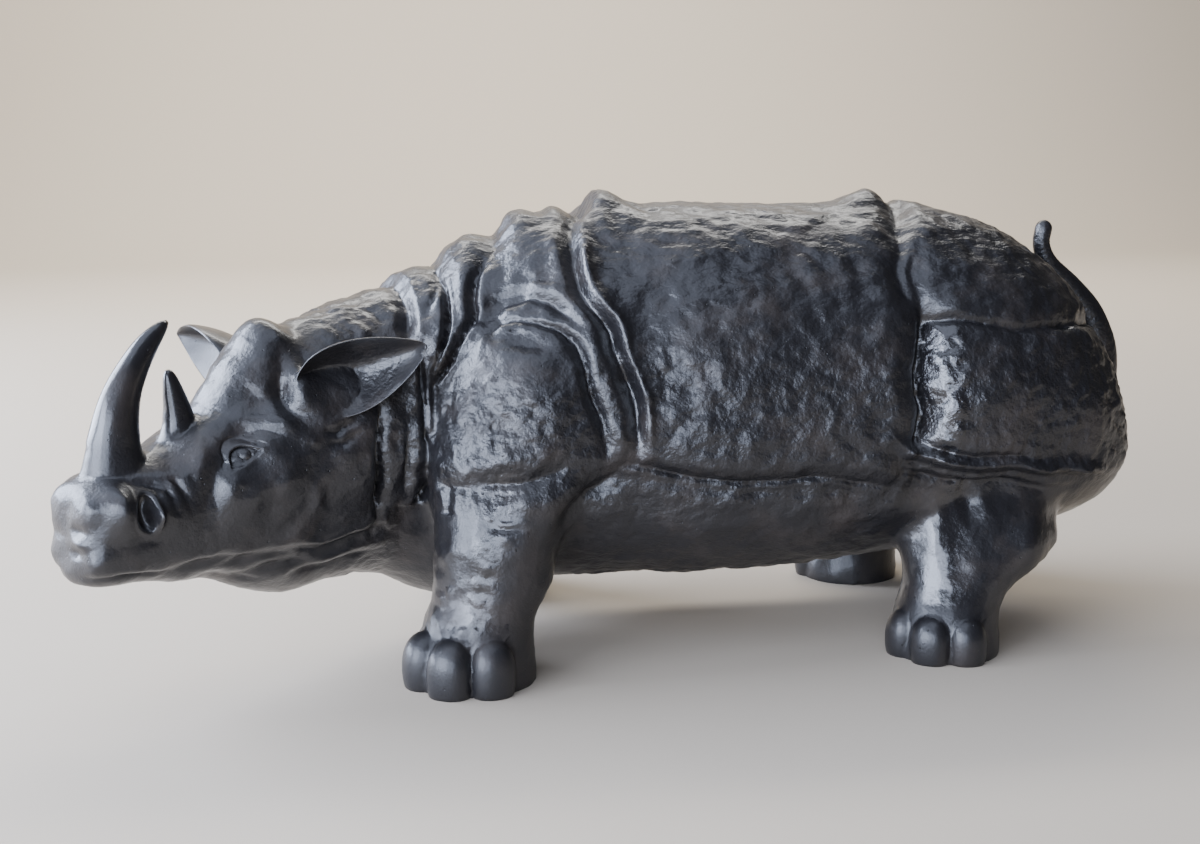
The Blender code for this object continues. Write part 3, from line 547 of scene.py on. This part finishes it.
def add_horn(bm, sizes, x, z, which, root_lean, tip_lean, flare, flare_height, blunt):
    """A horn, a little flat from side to side, that leans further back as it rises."""
    steps = 40
    flatness = 0.82
    whole = getattr(sizes, which + "_length")
    radius = getattr(sizes, which + "_radius")
    place = Vector(spot(x, 0, z, sizes))
    rings = []
    for index in range(steps):
        t = index / (steps - 1)
        lean = root_lean + (tip_lean - root_lean) * t
        axis = Vector((math.sin(lean), 0, math.cos(lean)))
        rearwards = Vector((axis.z, 0, -axis.x))
        size = radius * (max(1 - t, 0.004) ** blunt + flare * math.exp(-t / flare_height))
        scars = 0.20 * math.exp(-t / 0.16)
        ring = []
        for cosine, sine in around(32):
            # the modeller's fingers left the horn faintly uneven, and growth left scars round its root
            uneven = 1 + 0.05 * noise.noise((cosine * 1.2, sine * 1.2, t * 5 + len(which)))
            uneven += scars * noise.noise((cosine * 2, sine * 2, t * 16))
            ring.append(bend(place + (rearwards * cosine + Vector((0, flatness * sine, 0))) * size * uneven,
                             sizes))
        rings.append(ring)
        place = place + axis * whole / (steps - 1)
    loft(bm, rings)


def add_ear(bm, sizes, side, root, sweep, rise):
    """A cupped leaf: a sphere pressed flat, with its poles at the root and the tip."""
    level = math.cos(rise)
    along = Vector((math.sin(sweep) * level, side * math.cos(sweep) * level, math.sin(rise)))
    opening = Vector((EAR_OPENING[0], side * EAR_OPENING[1], EAR_OPENING[2]))
    opening = (opening - along * opening.dot(along)).normalized()
    across = along.cross(opening)
    root = Vector(spot(root[0], side * root[1], root[2], sizes))
    for vertex in bmesh.ops.create_uvsphere(bm, u_segments=48, v_segments=36, radius=1)["verts"]:
        t = (1 + vertex.co.z) / 2
        girth = max(math.hypot(vertex.co.x, vertex.co.y), 1e-6)
        v, face = vertex.co.x / girth, vertex.co.y / girth
        if girth < 1e-4:
            v = face = 0
        outline = math.sin(math.pi * t ** 0.8) ** 0.75 if 0.001 < t < 0.999 else 0
        half = sizes.ear_width / 2 * (0.42 * (1 - t) ** 2 + 1.02 * outline + 0.03)
        cup = 1.05 * half * (1 - abs(v) ** 1.7) + 0.10 * sizes.ear_length * (1 - t) ** 2
        wall = sizes.ear_wall / 2 * math.copysign(abs(face) ** 0.35, face)
        vertex.co = bend(root + along * sizes.ear_length * t + across * half * v
                         - opening * (cup - wall), sizes)


def add_tail(bm, sizes):
    """The tail's rings, with more of them drawn in round its tip."""
    rows = smooth_rows(TAIL_STATIONS, RING_STEP / sizes.body_length)
    rings = []
    for index, (x, z, thickness) in enumerate(rows):
        before, after = rows[max(index - 1, 0)], rows[min(index + 1, len(rows) - 1)]
        axis = Vector(spot(after[0] - before[0], 0, after[1] - before[1], sizes)).normalized()
        out = Vector((axis.z, 0, -axis.x))
        centre = Vector(spot(x, 0, z, sizes))
        rings.append([centre + (out * cosine + Vector((0, sine, 0))) * sizes.tail_radius * thickness
                      for cosine, sine in around(24)])
    for angle in (25, 50, 70, 85):
        up, narrow = math.sin(math.radians(angle)), math.cos(math.radians(angle))
        rings.append([centre + (axis * up + (out * cosine + Vector((0, sine, 0))) * narrow)
                      * sizes.tail_radius * thickness for cosine, sine in around(24)])
    loft(bm, rings)


@contextmanager
def modelling(mesh):
    """The mesh as a bmesh to work on, written back afterwards."""
    bm = bmesh.new()
    bm.from_mesh(mesh)
    yield bm
    bm.to_mesh(mesh)
    bm.free()


def shape_of(build):
    """The closed mesh that a builder makes, with its faces turned outwards."""
    shape = bpy.data.meshes.new("shape")
    with modelling(shape) as bm:
        build(bm)
        bmesh.ops.recalc_face_normals(bm, faces=bm.faces)
    return shape


def heap(builders):
    """One mesh of overlapping closed shapes."""
    mesh = bpy.data.meshes.new("clay")
    with modelling(mesh) as bm:
        for build in builders:
            bm.from_mesh(shape_of(build))
    return mesh


def worked(mesh, steps):
    """The mesh after a list of modifiers, each a type and its settings."""
    clay = bpy.data.objects.new("clay", mesh)
    bpy.context.scene.collection.objects.link(clay)
    for kind, settings in steps:
        modifier = clay.modifiers.new(kind, kind)
        for name, value in settings.items():
            setattr(modifier, name, value)
    depsgraph = bpy.context.evaluated_depsgraph_get()
    done = bpy.data.meshes.new_from_object(clay.evaluated_get(depsgraph))
    bpy.data.objects.remove(clay)
    return done


def joined(mesh, builders):
    """The mesh with more closed shapes stuck onto it, in the same order on every run."""
    pieces = [bpy.data.objects.new("piece", shape_of(build)) for build in builders]
    for piece in pieces:
        bpy.context.scene.collection.objects.link(piece)
    whole = worked(mesh, [("BOOLEAN", {"operation": "UNION", "solver": "MANIFOLD", "object": piece})
                          for piece in pieces])
    for piece in pieces:
        bpy.data.objects.remove(piece)
    # the union works in threads and leaves its faces in any order, and each with any corner first
    corners = [tuple(face.vertices) for face in whole.polygons]
    starts = [face.index(min(face)) for face in corners]
    ordered = bpy.data.meshes.new("clay")
    ordered.from_pydata([vertex.co for vertex in whole.vertices], [],
                        sorted(face[start:] + face[:start] for face, start in zip(corners, starts)))
    return ordered


def arrays_of(mesh):
    """The places and normals of a mesh's vertices."""
    count = len(mesh.vertices)
    points, normals = np.empty(count * 3), np.empty(count * 3)
    mesh.vertices.foreach_get("co", points)
    mesh.vertex_normals.foreach_get("vector", normals)
    return points.reshape(-1, 3), normals.reshape(-1, 3)


def move_to(mesh, points):
    """Put a mesh's vertices at new places."""
    mesh.vertices.foreach_set("co", points.ravel())
    mesh.update()


def distance_to_line(places, line):
    """Distance to a polyline, negative on its right, how far along it that is, and its whole length."""
    steps = np.linalg.norm(np.diff(line, axis=0), axis=1)
    travelled = np.concatenate(((0,), np.cumsum(steps)))
    nearest = np.full(len(places), np.inf)
    signed, along = np.zeros(len(places)), np.zeros(len(places))
    for index, (start, end) in enumerate(zip(line, line[1:])):
        run = end - start
        share = np.clip((places - start) @ run / (run @ run), 0, 1)
        gap = places - start - share[:, None] * run
        distance = np.linalg.norm(gap, axis=1)
        turn = run[0] * (places[:, 1] - start[1]) - run[1] * (places[:, 0] - start[0])
        closer = distance < nearest
        nearest = np.where(closer, distance, nearest)
        signed = np.where(closer, np.copysign(distance, turn), signed)
        along = np.where(closer, travelled[index] + share * steps[index], along)
    return signed, along, travelled[-1]


def fold_push(places, normals, folds, sizes, wander):
    """How far the folds push each point out (a roll) or in (a groove)."""
    side = places[:, (0, 2)] + wander
    facing = np.clip((np.abs(normals[:, 1]) + np.abs(normals[:, 2]) - 0.25) / 0.5, 0, 1)
    push = np.zeros(len(places))
    for groove, lip, crease, width, back, *points in folds:
        line = side_line(points, sizes)
        reach = width * sizes.fold_width
        margin = (2.5 + 2.2 * back) * reach
        near = np.flatnonzero(((side > line.min(axis=0) - margin)
                               & (side < line.max(axis=0) + margin)).all(axis=1))
        signed, along, whole = distance_to_line(side[near], line)
        # a quarter of a fold is left where its line ends
        fade = np.clip(np.minimum(along, whole - along) / (3 * sizes.fold_width) + 0.25, 0, 1)
        share = signed / reach
        # the roll rises beside the groove and runs out behind, with a faint second one in front
        roll = (ramp(share, 0.1, 1.5) * np.exp(-(np.clip(share - 1.2, 0, None) / back) ** 1.5)
                + 0.3 * bell((share + 1.9) / 0.9))
        shape = lip * roll - groove * bell(share) - crease * bell(share / 0.32)
        # no fold is even along its length, and no two are alike
        uneven = 1 + 0.22 * np.sin(along / 0.009 + 2.0 * np.sin(along / 0.017) + 9 * groove + 5 * lip)
        push[near] += fade * shape * uneven
    return push * facing * sizes.fold_depth


def ledge_push(places, sizes, wander):
    """How far the skin is set back beyond each ledge."""
    side = places[:, (0, 2)] + wander
    push = np.zeros(len(places))
    for drop, reach, *points in LEDGES:
        signed, along, whole = distance_to_line(side, side_line(points, sizes))
        share = signed / sizes.fold_width
        fade = np.clip(np.minimum(along, whole - along) / (3 * sizes.fold_width), 0, 1)
        push -= drop * fade * ramp(share, 0.3, -0.7) * bell(np.clip(-share, 0, None) / reach)
    return push * sizes.fold_depth


def dents(points, cell, seed):
    """Soft dents and swellings, -1 to 1; cell is their size in metres, alike or along x, y and z."""
    return np.array([noise.noise(place) for place in (points / np.array(cell) + seed).tolist()])


def crumple(points, cell, seed):
    """Rounded lumps with sharp creases between them, about -0.5 to 0.5."""
    at = (points / cell + seed).tolist()
    return np.array([noise.turbulence(place, 2, True) for place in at]) - 0.45


def skin_fields(places, straight, sizes):
    """Shares all over the figurine: level grain, relief, crumpled skin, wet glaze, puckers under it."""
    x, y, z = shares(places, sizes)
    ahead = shares(straight, sizes)[0]
    level = np.maximum(ramp(z, 0.62, 0.86), ramp(z, 0.36, 0.26) * ramp(np.abs(x - 0.09), 0.16, 0.12))
    # the skin is quieter on the face, the legs and the point of the shoulder
    face = ramp(ahead, -0.24, -0.30)
    muzzle = ramp(ahead, -0.41, -0.45)
    jaw = ramp(z, 0.34, 0.28) * face
    eye = mound(ahead, z, (*EYE, 0.030, 0.075))
    legs = ramp(z, 0.40, 0.34) * ramp(ahead, -0.24, -0.20) * ramp(np.abs(x - 0.085), 0.12, 0.15)
    point = mound(x, z, (-0.085, 0.66, 0.035, 0.05))
    skin = ((1 - 0.35 * face) * (1 - 0.4 * muzzle) * (1 - 0.8 * eye) * (1 - 0.65 * legs) * (1 - 0.4 * jaw)
            - 0.5 * point)
    # and crumpled below that point, on the rump and on the nape
    shoulder = mound(x, z, (-0.105, 0.53, 0.045, 0.10))
    rump = ramp(x, 0.27, 0.36) * ramp(z, 0.36, 0.46)
    nape = bell((ahead + 0.262) / 0.022) * ramp(z, 0.60, 0.68)
    rough = np.clip(0.34 + 0.7 * shoulder + 0.35 * rump + 0.7 * nape, 0, 1) * (1 - 0.6 * face)
    wet, puckered = np.zeros(len(places)), np.zeros(len(places))
    ragged = 1 + 0.5 * dents(places, 0.010, 6.6)
    outside = ramp(np.abs(y), 0.45, 0.7)
    for strength, folded, half, *points in WET_STRIPS:
        signed, _along, _whole = distance_to_line(places[:, (0, 2)], side_line(points, sizes))
        here = outside * np.exp(-(signed / (half * ragged)) ** 4)
        wet = np.maximum(wet, strength * here)
        puckered = np.maximum(puckered, folded * here)
    return level, np.clip(skin, 0, 1.6), rough, wet, puckered


def skin_push(points, straight, sizes):
    """The skin between the folds: swellings, dents, short wrinkles, and puckers where it is crumpled."""
    level, skin, rough, _wet, puckered = skin_fields(points, straight, sizes)
    relief = (dents(points, (0.030, 0.030, 0.026), 3.1) + 0.75 * dents(points, 0.0095, 8.3)
              + 0.45 * dents(points, 0.0050, 5.3) * (1 - level)
              + 0.40 * dents(points, (0.0110, 0.0055, 0.0050), 7.7) * level)
    relief += 1.3 * rough * crumple(points, 0.0085, 9.4)
    return sizes.wrinkle_depth * (skin * relief + 1.6 * puckered * crumple(points, 0.0100, 4.6))


def carve(mesh, sizes):
    """Press the folds, the crest, the face and the crumpled skin into the fused body."""
    points, normals = arrays_of(mesh)
    straight, facing = straighten(points, normals, sizes)
    x, y, z = shares(points, sizes)
    ahead, aside, _z = shares(straight, sizes)
    # the trunk's folds stay off the inner sides of the legs and the belly, and its ledges off the neck
    outer = np.clip((np.abs(y) - 0.30) / 0.2 + (z - 0.60) / 0.1, 0, 1)
    trunk = points[:, 0] > -0.12
    forelegs = (z < 0.36) & (x > -0.2)
    wander = np.array([noise.noise_vector(place)[:2] for place in (points / 0.026).tolist()]) * 0.0030
    push = (fold_push(points, normals, TRUNK_FOLDS, sizes, wander)
            + ledge_push(points, sizes, wander) * trunk) * outer
    push += fold_push(straight, facing, HEAD_FOLDS, sizes, wander) * ~forelegs
    top = np.clip(normals[:, 2] * 2 - 0.4, 0, 1)
    for place, lift, front, rear, sideways in CREST_BUMPS:
        reach = np.where(ahead < place, front, rear)
        push += lift * sizes.fold_depth * top * mound(ahead, aside, (place, 0, reach, sideways))
    for forms, across, way in ((FACE_FORMS, ahead, facing), (BODY_FORMS, x, normals)):
        sides = np.clip(np.abs(way[:, 1]) * 1.6, 0, 1)
        for *place, lift in forms:
            push += lift * sizes.fold_depth * sides * mound(across, z, place)
    front = np.clip(-facing[:, 0] * 1.5, 0, 1) * (ahead < -0.46)
    for *place, lift in MUZZLE_FORMS:
        push += lift * sizes.fold_depth * front * mound(aside, z, place)
    push += skin_push(points, straight, sizes)
    move_to(mesh, points + normals * push[:, None])


def eye_shape(u, v, half):
    """Height of the lids and the eyeball over the socket, along the slant u and across it v."""
    share = np.clip(u / half, -1, 1)
    upper = 0.66 * half * (1 - np.abs(share + 0.1) ** 2.2 / 1.2) * (1 - share ** 8)
    lower = -0.20 * half * (1 - share ** 2)
    outside = np.maximum(v - upper, lower - v) * 0.85
    outside = np.where(np.abs(u) > half, np.hypot(np.abs(u) - half, v), outside)
    # all that follows is in elevenths of the half length
    unit = half / 11
    u, v, outside = u / unit, v / unit, outside / unit
    # the ball with its iris and pupil, sunk below the upper lid
    centre = np.hypot(u - 1.8, v - 2.3)
    ball = (-3.4 + 3.6 * (1 - (centre / 10.5) ** 2) - 0.7 * bell((centre - 3.7) / 0.6)
            + 0.6 * bell(centre / 1.3) - 2.2 * np.exp(outside / 1.1) * (v > 1.5))
    # the rim of the lids, and the crease over the upper one
    over = ramp(v, -1.0, 3.0)
    lid = (0.3 + 0.8 * over) * bell((outside - 1.2) / 1.2) - over * bell(outside - 4.2)
    return unit * np.where(outside < 0, ball, lid)


def nostril_shape(along, up):
    """Depth of the comma-shaped nostril and the height of its rim, in metres."""
    bent = along + 0.0020 * np.cos(up / 0.0058)
    ring = np.hypot(bent / 0.0055, up / 0.0092)
    pit = -0.0060 * np.clip(1 - ring ** 2, 0, 1) ** 0.6
    flap = 0.0056 * mound(along, up, (0.0042, -0.0015, 0.0028, 0.0062))
    rim = 0.0007 * bell((ring - 1.25) / 0.20)
    return pit + flap + rim


def add_face_detail(mesh, sizes):
    """Refine the skin at eyes and nostrils, then shape lids, eyeballs and nostrils in it."""
    half = sizes.eye_length / 2
    middles = [np.array((x * sizes.body_length, z * sizes.height)) for x, z in (EYE, NOSTRIL)]
    with modelling(mesh) as bm:
        for _ in range(2):
            points = np.array([vertex.co for vertex in bm.verts])
            places, _normals = straighten(points, points, sizes)
            chosen = set()
            for middle, reach in zip(middles, (2.0 * half, NOSTRIL_REACH)):
                near = ((places[:, (0, 2)] - middle) ** 2).sum(axis=1) < reach ** 2
                chosen.update(np.flatnonzero(near & (np.abs(places[:, 1]) > HEAD_INSIDE)).tolist())
            bm.verts.ensure_lookup_table()
            edges = [edge for edge in bm.edges
                     if edge.verts[0].index in chosen and edge.verts[1].index in chosen]
            bmesh.ops.subdivide_edges(bm, edges=edges, cuts=1, use_grid_fill=True)
            bm.verts.index_update()
    points, normals = arrays_of(mesh)
    places, _facing = straighten(points, normals, sizes)
    along, up = (places[:, (0, 2)] - middles[0]).T
    u = along * math.cos(LID_SLANT) + up * math.sin(LID_SLANT)
    v = up * math.cos(LID_SLANT) - along * math.sin(LID_SLANT)
    lift = eye_shape(u, v, half) * ramp(np.hypot(u, v), 2.0 * half, 1.3 * half)
    along, up = (places[:, (0, 2)] - middles[1]).T
    lift += nostril_shape(along, up) * ramp(np.hypot(along, up), NOSTRIL_REACH, NOSTRIL_REACH - 0.004)
    side = np.sign(places[:, 1]) * (np.abs(places[:, 1]) > HEAD_INSIDE)
    outward = (bend((EYE[0] * sizes.body_length, 1, 0), sizes)
               - bend((EYE[0] * sizes.body_length, 0, 0), sizes))
    move_to(mesh, points + (lift * side)[:, None] * np.array(outward))


def ear_share(straight, sizes):
    """1 on the ears and 0 elsewhere, with a soft edge at the roots."""
    x, y, _z = shares(straight, sizes)
    return ramp(x, -0.36, -0.34) * ramp(x, -0.20, -0.24) * ramp(np.abs(y), 0.60, 0.66)


def soften_roots(mesh, sizes):
    """Work the roots of horns and ears into the clay round them."""
    roots = [(spot(x, 0, z, sizes), 2.2 * getattr(sizes, which + "_radius"))
             for x, z, which, *_rest in HORNS]
    roots += [(spot(x, side * y, z, sizes), 0.6 * sizes.ear_width)
              for side, (x, y, z), *_rest in EARS]
    with modelling(mesh) as bm:
        for root, reach in roots:
            place = bend(root, sizes)
            near = [vertex for vertex in bm.verts if (vertex.co - place).length < reach]
            for _ in range(6):
                bmesh.ops.smooth_vert(bm, verts=near, factor=0.5, use_axis_x=True, use_axis_y=True,
                                      use_axis_z=True)


def mark_skin(mesh, sizes):
    """Store what the glaze pattern follows: grain, skin relief and gloss at each vertex."""
    points, normals = arrays_of(mesh)
    straight, _facing = straighten(points, normals, sizes)
    level, skin, rough, wet, puckered = skin_fields(points, straight, sizes)
    x, _y, z = shares(straight, sizes)
    horns = ramp(x, -0.38, -0.40) * ramp(z, 0.52, 0.58)
    toes = ramp(points[:, 2], 1.15 * sizes.toe_height, 0.95 * sizes.toe_height) * ramp(x, -0.36, -0.30)
    skin = np.clip(skin * (0.6 + 0.4 * rough) + 0.3 * puckered, 0, 1)
    skin *= 1 - np.clip(horns + toes + ear_share(straight, sizes), 0, 1)
    hind_legs = ramp(z, 0.40, 0.34) * ramp(x, 0.20, 0.24)
    gloss = 0.1 * ramp(x, -0.06, -0.16) + 0.6 * horns + 0.4 * hind_legs + wet - 0.5 * toes
    for name, values in (("level_grain", level), ("skin_relief", skin), ("gloss", np.clip(gloss, -1, 1))):
        mesh.attributes.new(name, "FLOAT", "POINT").data.foreach_set("value", values)


def stand(mesh):
    """Cut the soles flat on the floor and move the middle of the figurine over the origin."""
    with modelling(mesh) as bm:
        bmesh.ops.bisect_plane(bm, geom=bm.verts[:] + bm.edges[:] + bm.faces[:], plane_co=(0, 0, 0),
                               plane_no=(0, 0, -1), clear_outer=True)
        rims = [edge for edge in bm.edges if edge.is_boundary]
        bmesh.ops.holes_fill(bm, edges=rims, sides=0)
        bmesh.ops.triangulate(bm, faces=bm.faces)
        bmesh.ops.translate(bm, verts=bm.verts, vec=(-MIDDLE[0], -MIDDLE[1], 0))


def build_figurine(sizes):
    """Fuse and carve the body, join on tail, toes, horns and ears, then detail, thin and stand it."""
    noise.seed_set(NOISE_SEED)
    body = worked(heap((
        lambda bm: add_trunk(bm, sizes),
        lambda bm: add_leg(bm, sizes, FORE_STATIONS, -1, 0),
        lambda bm: add_leg(bm, sizes, FORE_STATIONS, 1, FAR_STEP),
        lambda bm: add_leg(bm, sizes, HIND_STATIONS, -1, 0),
        lambda bm: add_leg(bm, sizes, HIND_STATIONS, 1, 0),
    )), (("REMESH", {"mode": "VOXEL", "voxel_size": BODY_VOXEL}),
         ("SMOOTH", {"factor": 0.5, "iterations": BODY_ROUNDS}),
         ("SUBSURF", {"levels": 1, "render_levels": 1})))
    carve(body, sizes)
    fore, hind = FORE_STATIONS[-1][1], HIND_STATIONS[-1][1]
    details = [lambda bm: add_tail(bm, sizes)]
    for x, side, splay, scale in ((fore, -1, FORE_SPLAY, 1), (fore + FAR_STEP, 1, FORE_SPLAY, 1),
                                  (hind, -1, HIND_SPLAY, HIND_TOES), (hind, 1, HIND_SPLAY, HIND_TOES)):
        for fan, reach, width in TOES:
            toe = (x, side, scale, splay + math.radians(fan), reach, width)
            details.append(lambda bm, toe=toe: add_toe(bm, sizes, *toe))
    details += [lambda bm, horn=horn: add_horn(bm, sizes, *horn) for horn in HORNS]
    details += [lambda bm, ear=ear: add_ear(bm, sizes, *ear) for ear in EARS]
    whole = joined(body, details)
    soften_roots(whole, sizes)
    add_face_detail(whole, sizes)
    ratio = TRIANGLES / sum(len(face.vertices) - 2 for face in whole.polygons)
    whole = worked(whole, (("DECIMATE", {"ratio": ratio, "use_collapse_triangulate": True}),))
    mark_skin(whole, sizes)
    stand(whole)
    whole.shade_smooth()
    return whole


def add_node(tree, kind, settings=None, links=None, output=0):
    """One node with its properties or input values set and its inputs linked; gives one output."""
    node = tree.nodes.new("ShaderNode" + kind)
    for name, value in (settings or {}).items():
        if isinstance(name, int) or name in node.inputs:
            node.inputs[name].default_value = value
        else:
            setattr(node, name, value)
    for name, source in (links or {}).items():
        tree.links.new(source, node.inputs[name])
    return node.outputs[output]


def shaded(name):
    """A new material, its node tree and its main shader."""
    material = bpy.data.materials.new(name)
    material.use_nodes = True
    return material, material.node_tree, material.node_tree.nodes["Principled BSDF"]


def black_satin_glaze(finish):
    """Stoneware under a black satin glaze, brushed on and fired.

    The glaze is nearly black, cool and shiny where it lies thick, and browner and duller where it ran
    thin over the clay. Gas from the clay left pits in it, and their bottoms are painted darker as shade.
    """
    material, tree, shader = shaded("black_satin_glaze")
    places = add_node(tree, "TexCoord", output="Object")
    level, relief, gloss = (add_node(tree, "Attribute", {"attribute_name": name}, output="Fac")
                            for name in ("level_grain", "skin_relief", "gloss"))

    # skin finer than the mesh carries: dents of about 4 mm, half as long again where the grain is level
    grain = {}
    for name, stretch in (("flat", (0.65, 1, 1)), ("round", (1, 1, 1))):
        spread = add_node(tree, "Mapping", {"Scale": stretch}, {"Vector": places})
        grain[name] = add_node(tree, "TexNoise", {"Scale": 260.0, "Detail": 2.0, "Roughness": 0.55},
                               {"Vector": spread})
    wrinkles = add_node(tree, "Mix", {}, {"Factor": level, "A": grain["round"], "B": grain["flat"]})
    # sponge marks of about 1.5 mm
    marks = add_node(tree, "TexNoise", {"Scale": 650.0, "Detail": 2.0}, {"Vector": places})
    # pinhole pits of about 0.9 mm, one in each cell of about 8 mm, near the finest that shows
    cells = add_node(tree, "TexVoronoi", {"Scale": 125.0}, {"Vector": places})
    holes = add_node(tree, "MapRange", {"From Min": 0.04, "From Max": 0.075, "To Min": 1.0, "To Max": 0.0},
                     {"Value": cells})
    # cloudy glaze thickness, about 30 mm across
    clouds = add_node(tree, "TexNoise", {"Scale": 32.0, "Detail": 5.0, "Roughness": 0.6}, {"Vector": places})

    thin = add_node(tree, "MapRange", {"From Min": 0.50, "From Max": 0.70}, {"Value": clouds})
    hue = add_node(tree, "MixRGB", {"Color1": (*finish.glaze, 1), "Color2": (*finish.worn_glaze, 1)},
                   {"Fac": thin})
    # painted shade: the bottoms of the pits are painted darker than the glaze
    pit_shaded = add_node(tree, "MixRGB", {"Color2": (*finish.pinhole_shade, 1)}, {"Fac": holes, "Color1": hue})
    dull = add_node(tree, "MapRange", {"From Min": 0.3, "From Max": 0.7, "To Min": 0.34, "To Max": 0.46},
                    {"Value": clouds})
    shine = add_node(tree, "Math", {"operation": "MULTIPLY", 1: 0.14}, {0: gloss})
    rough = add_node(tree, "Math", {"operation": "SUBTRACT", "use_clamp": True}, {0: dull, 1: shine})
    coat = add_node(tree, "MapRange", {"From Min": 0.0, "From Max": 1.0, "To Min": 0.15, "To Max": 0.75},
                    {"Value": gloss})

    skin = add_node(tree, "Bump", {"Distance": 0.0013}, {"Height": wrinkles, "Strength": relief})
    sponge = add_node(tree, "Bump", {"Strength": 0.35, "Distance": 0.0004},
                      {"Height": marks, "Normal": skin})
    pits = add_node(tree, "Bump", {"Strength": 0.8, "Distance": 0.0005, "invert": True},
                    {"Height": holes, "Normal": sponge})
    for name, source in (("Base Color", pit_shaded), ("Roughness", rough), ("Coat Weight", coat),
                         ("Normal", pits)):
        tree.links.new(source, shader.inputs[name])
    shader.inputs["IOR"].default_value = 1.52
    shader.inputs["Coat Roughness"].default_value = 0.14
    return material


def matt_paper(finish):
    """Uncoated studio paper: matt, so that it shows nothing but soft shadow."""
    material, _tree, shader = shaded("matt_studio_paper")
    shader.inputs["Base Color"].default_value = (*finish.floor, 1)
    shader.inputs["Roughness"].default_value = 0.9
    return material


class RHINO_OT_figurine(bpy.types.Operator):
    """Model the glazed rhinoceros in place of its plain solid"""

    bl_idname = "rhino.figurine"
    bl_label = "Rhinoceros figurine"

    def execute(self, context):
        mesh = build_figurine(context.scene.rhino_sizes)
        mesh.name = "rhinoceros_glazed"
        mesh.materials.append(black_satin_glaze(context.scene.rhino_finish))
        figurine = bpy.data.objects.new("rhinoceros_glazed", mesh)
        context.scene.collection.objects.link(figurine)
        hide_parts("rhinoceros")
        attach(figurine, "root")
        return {"FINISHED"}


def add_lamp(name, place, target, size, power, tint):
    light = bpy.data.lights.new(name, "AREA")
    light.shape = "RECTANGLE"
    light.size, light.size_y = size
    light.energy = power
    light.color = tint
    lamp = bpy.data.objects.new(name, light)
    lamp.location = place
    lamp.rotation_euler = (Vector(target) - Vector(place)).to_track_quat("-Z", "Y").to_euler()
    bpy.context.scene.collection.objects.link(lamp)


def add_paper_sweep(finish):
    """A floor whose far edge bends up into the backdrop."""
    mesh = bpy.data.meshes.new("paper_sweep")
    with modelling(mesh) as paper:
        bmesh.ops.create_grid(paper, x_segments=1, y_segments=1, size=PAPER_REACH)
        back = [edge for edge in paper.edges if all(vertex.co.y > 0 for vertex in edge.verts)]
        wall = bmesh.ops.extrude_edge_only(paper, edges=back)["geom"]
        risen = [item for item in wall if isinstance(item, bmesh.types.BMVert)]
        bmesh.ops.translate(paper, verts=risen, vec=(0, 0, PAPER_REACH))
        bmesh.ops.bevel(paper, geom=back, offset=PAPER_BEND, segments=12, profile=0.5, affect="EDGES",
                        material=-1)
        bmesh.ops.recalc_face_normals(paper, faces=paper.faces)
    mesh.materials.append(matt_paper(finish))
    mesh.shade_smooth()
    sweep = bpy.data.objects.new("paper_sweep", mesh)
    bpy.context.scene.collection.objects.link(sweep)


class RHINO_OT_studio(bpy.types.Operator):
    """Add the paper sweep, the soft window light and the camera"""

    bl_idname = "rhino.studio"
    bl_label = "Studio"

    def execute(self, context):
        finish = context.scene.rhino_finish
        add_paper_sweep(finish)
        for lamp in WINDOW_LAMPS:
            add_lamp(*lamp, finish.window)
        add_lamp(*BACKDROP_LAMP, finish.lamp)

        world = bpy.data.worlds.new("studio_air")
        context.scene.world = world
        world.use_nodes = True
        air = world.node_tree.nodes["Background"]
        air.inputs["Color"].default_value = (*finish.air, 1)
        air.inputs["Strength"].default_value = AIR_LIGHT

        lens = bpy.data.cameras.new("camera")
        lens.sensor_fit = "HORIZONTAL"
        lens.sensor_width = CAMERA_FILM
        lens.lens = CAMERA_LENS
        camera = bpy.data.objects.new("camera", lens)
        camera.location = CAMERA_PLACE
        camera.rotation_euler = (math.radians(90 - CAMERA_DOWN), 0, math.radians(-CAMERA_RIGHT))
        context.scene.collection.objects.link(camera)
        context.scene.camera = camera
        return {"FINISHED"}


class RHINO_PT_panel(bpy.types.Panel):
    bl_idname = "RHINO_PT_panel"
    bl_label = "Rhinoceros"
    bl_space_type = "VIEW_3D"
    bl_region_type = "UI"
    bl_category = "Rhinoceros"

    def draw(self, context):
        for group in (context.scene.rhino_sizes, context.scene.rhino_finish):
            column = self.layout.column()
            for name in group.bl_rna.properties.keys():
                if name not in ("rna_type", "name"):
                    column.prop(group, name)
        self.layout.operator(RHINO_OT_figurine.bl_idname)
        self.layout.operator(RHINO_OT_studio.bl_idname)


CLASSES = (RhinocerosSizes, RhinocerosFinish, RHINO_OT_figurine, RHINO_OT_studio, RHINO_PT_panel)


def register():
    for cls in CLASSES:
        bpy.utils.register_class(cls)
    bpy.types.Scene.rhino_sizes = bpy.props.PointerProperty(type=RhinocerosSizes)
    bpy.types.Scene.rhino_finish = bpy.props.PointerProperty(type=RhinocerosFinish)


def unregister():
    del bpy.types.Scene.rhino_finish
    del bpy.types.Scene.rhino_sizes
    for cls in reversed(CLASSES):
        bpy.utils.unregister_class(cls)


def main():
    register()
    bpy.ops.rhino.figurine()
    bpy.ops.rhino.studio()


if __name__ == "__main__":
    main()
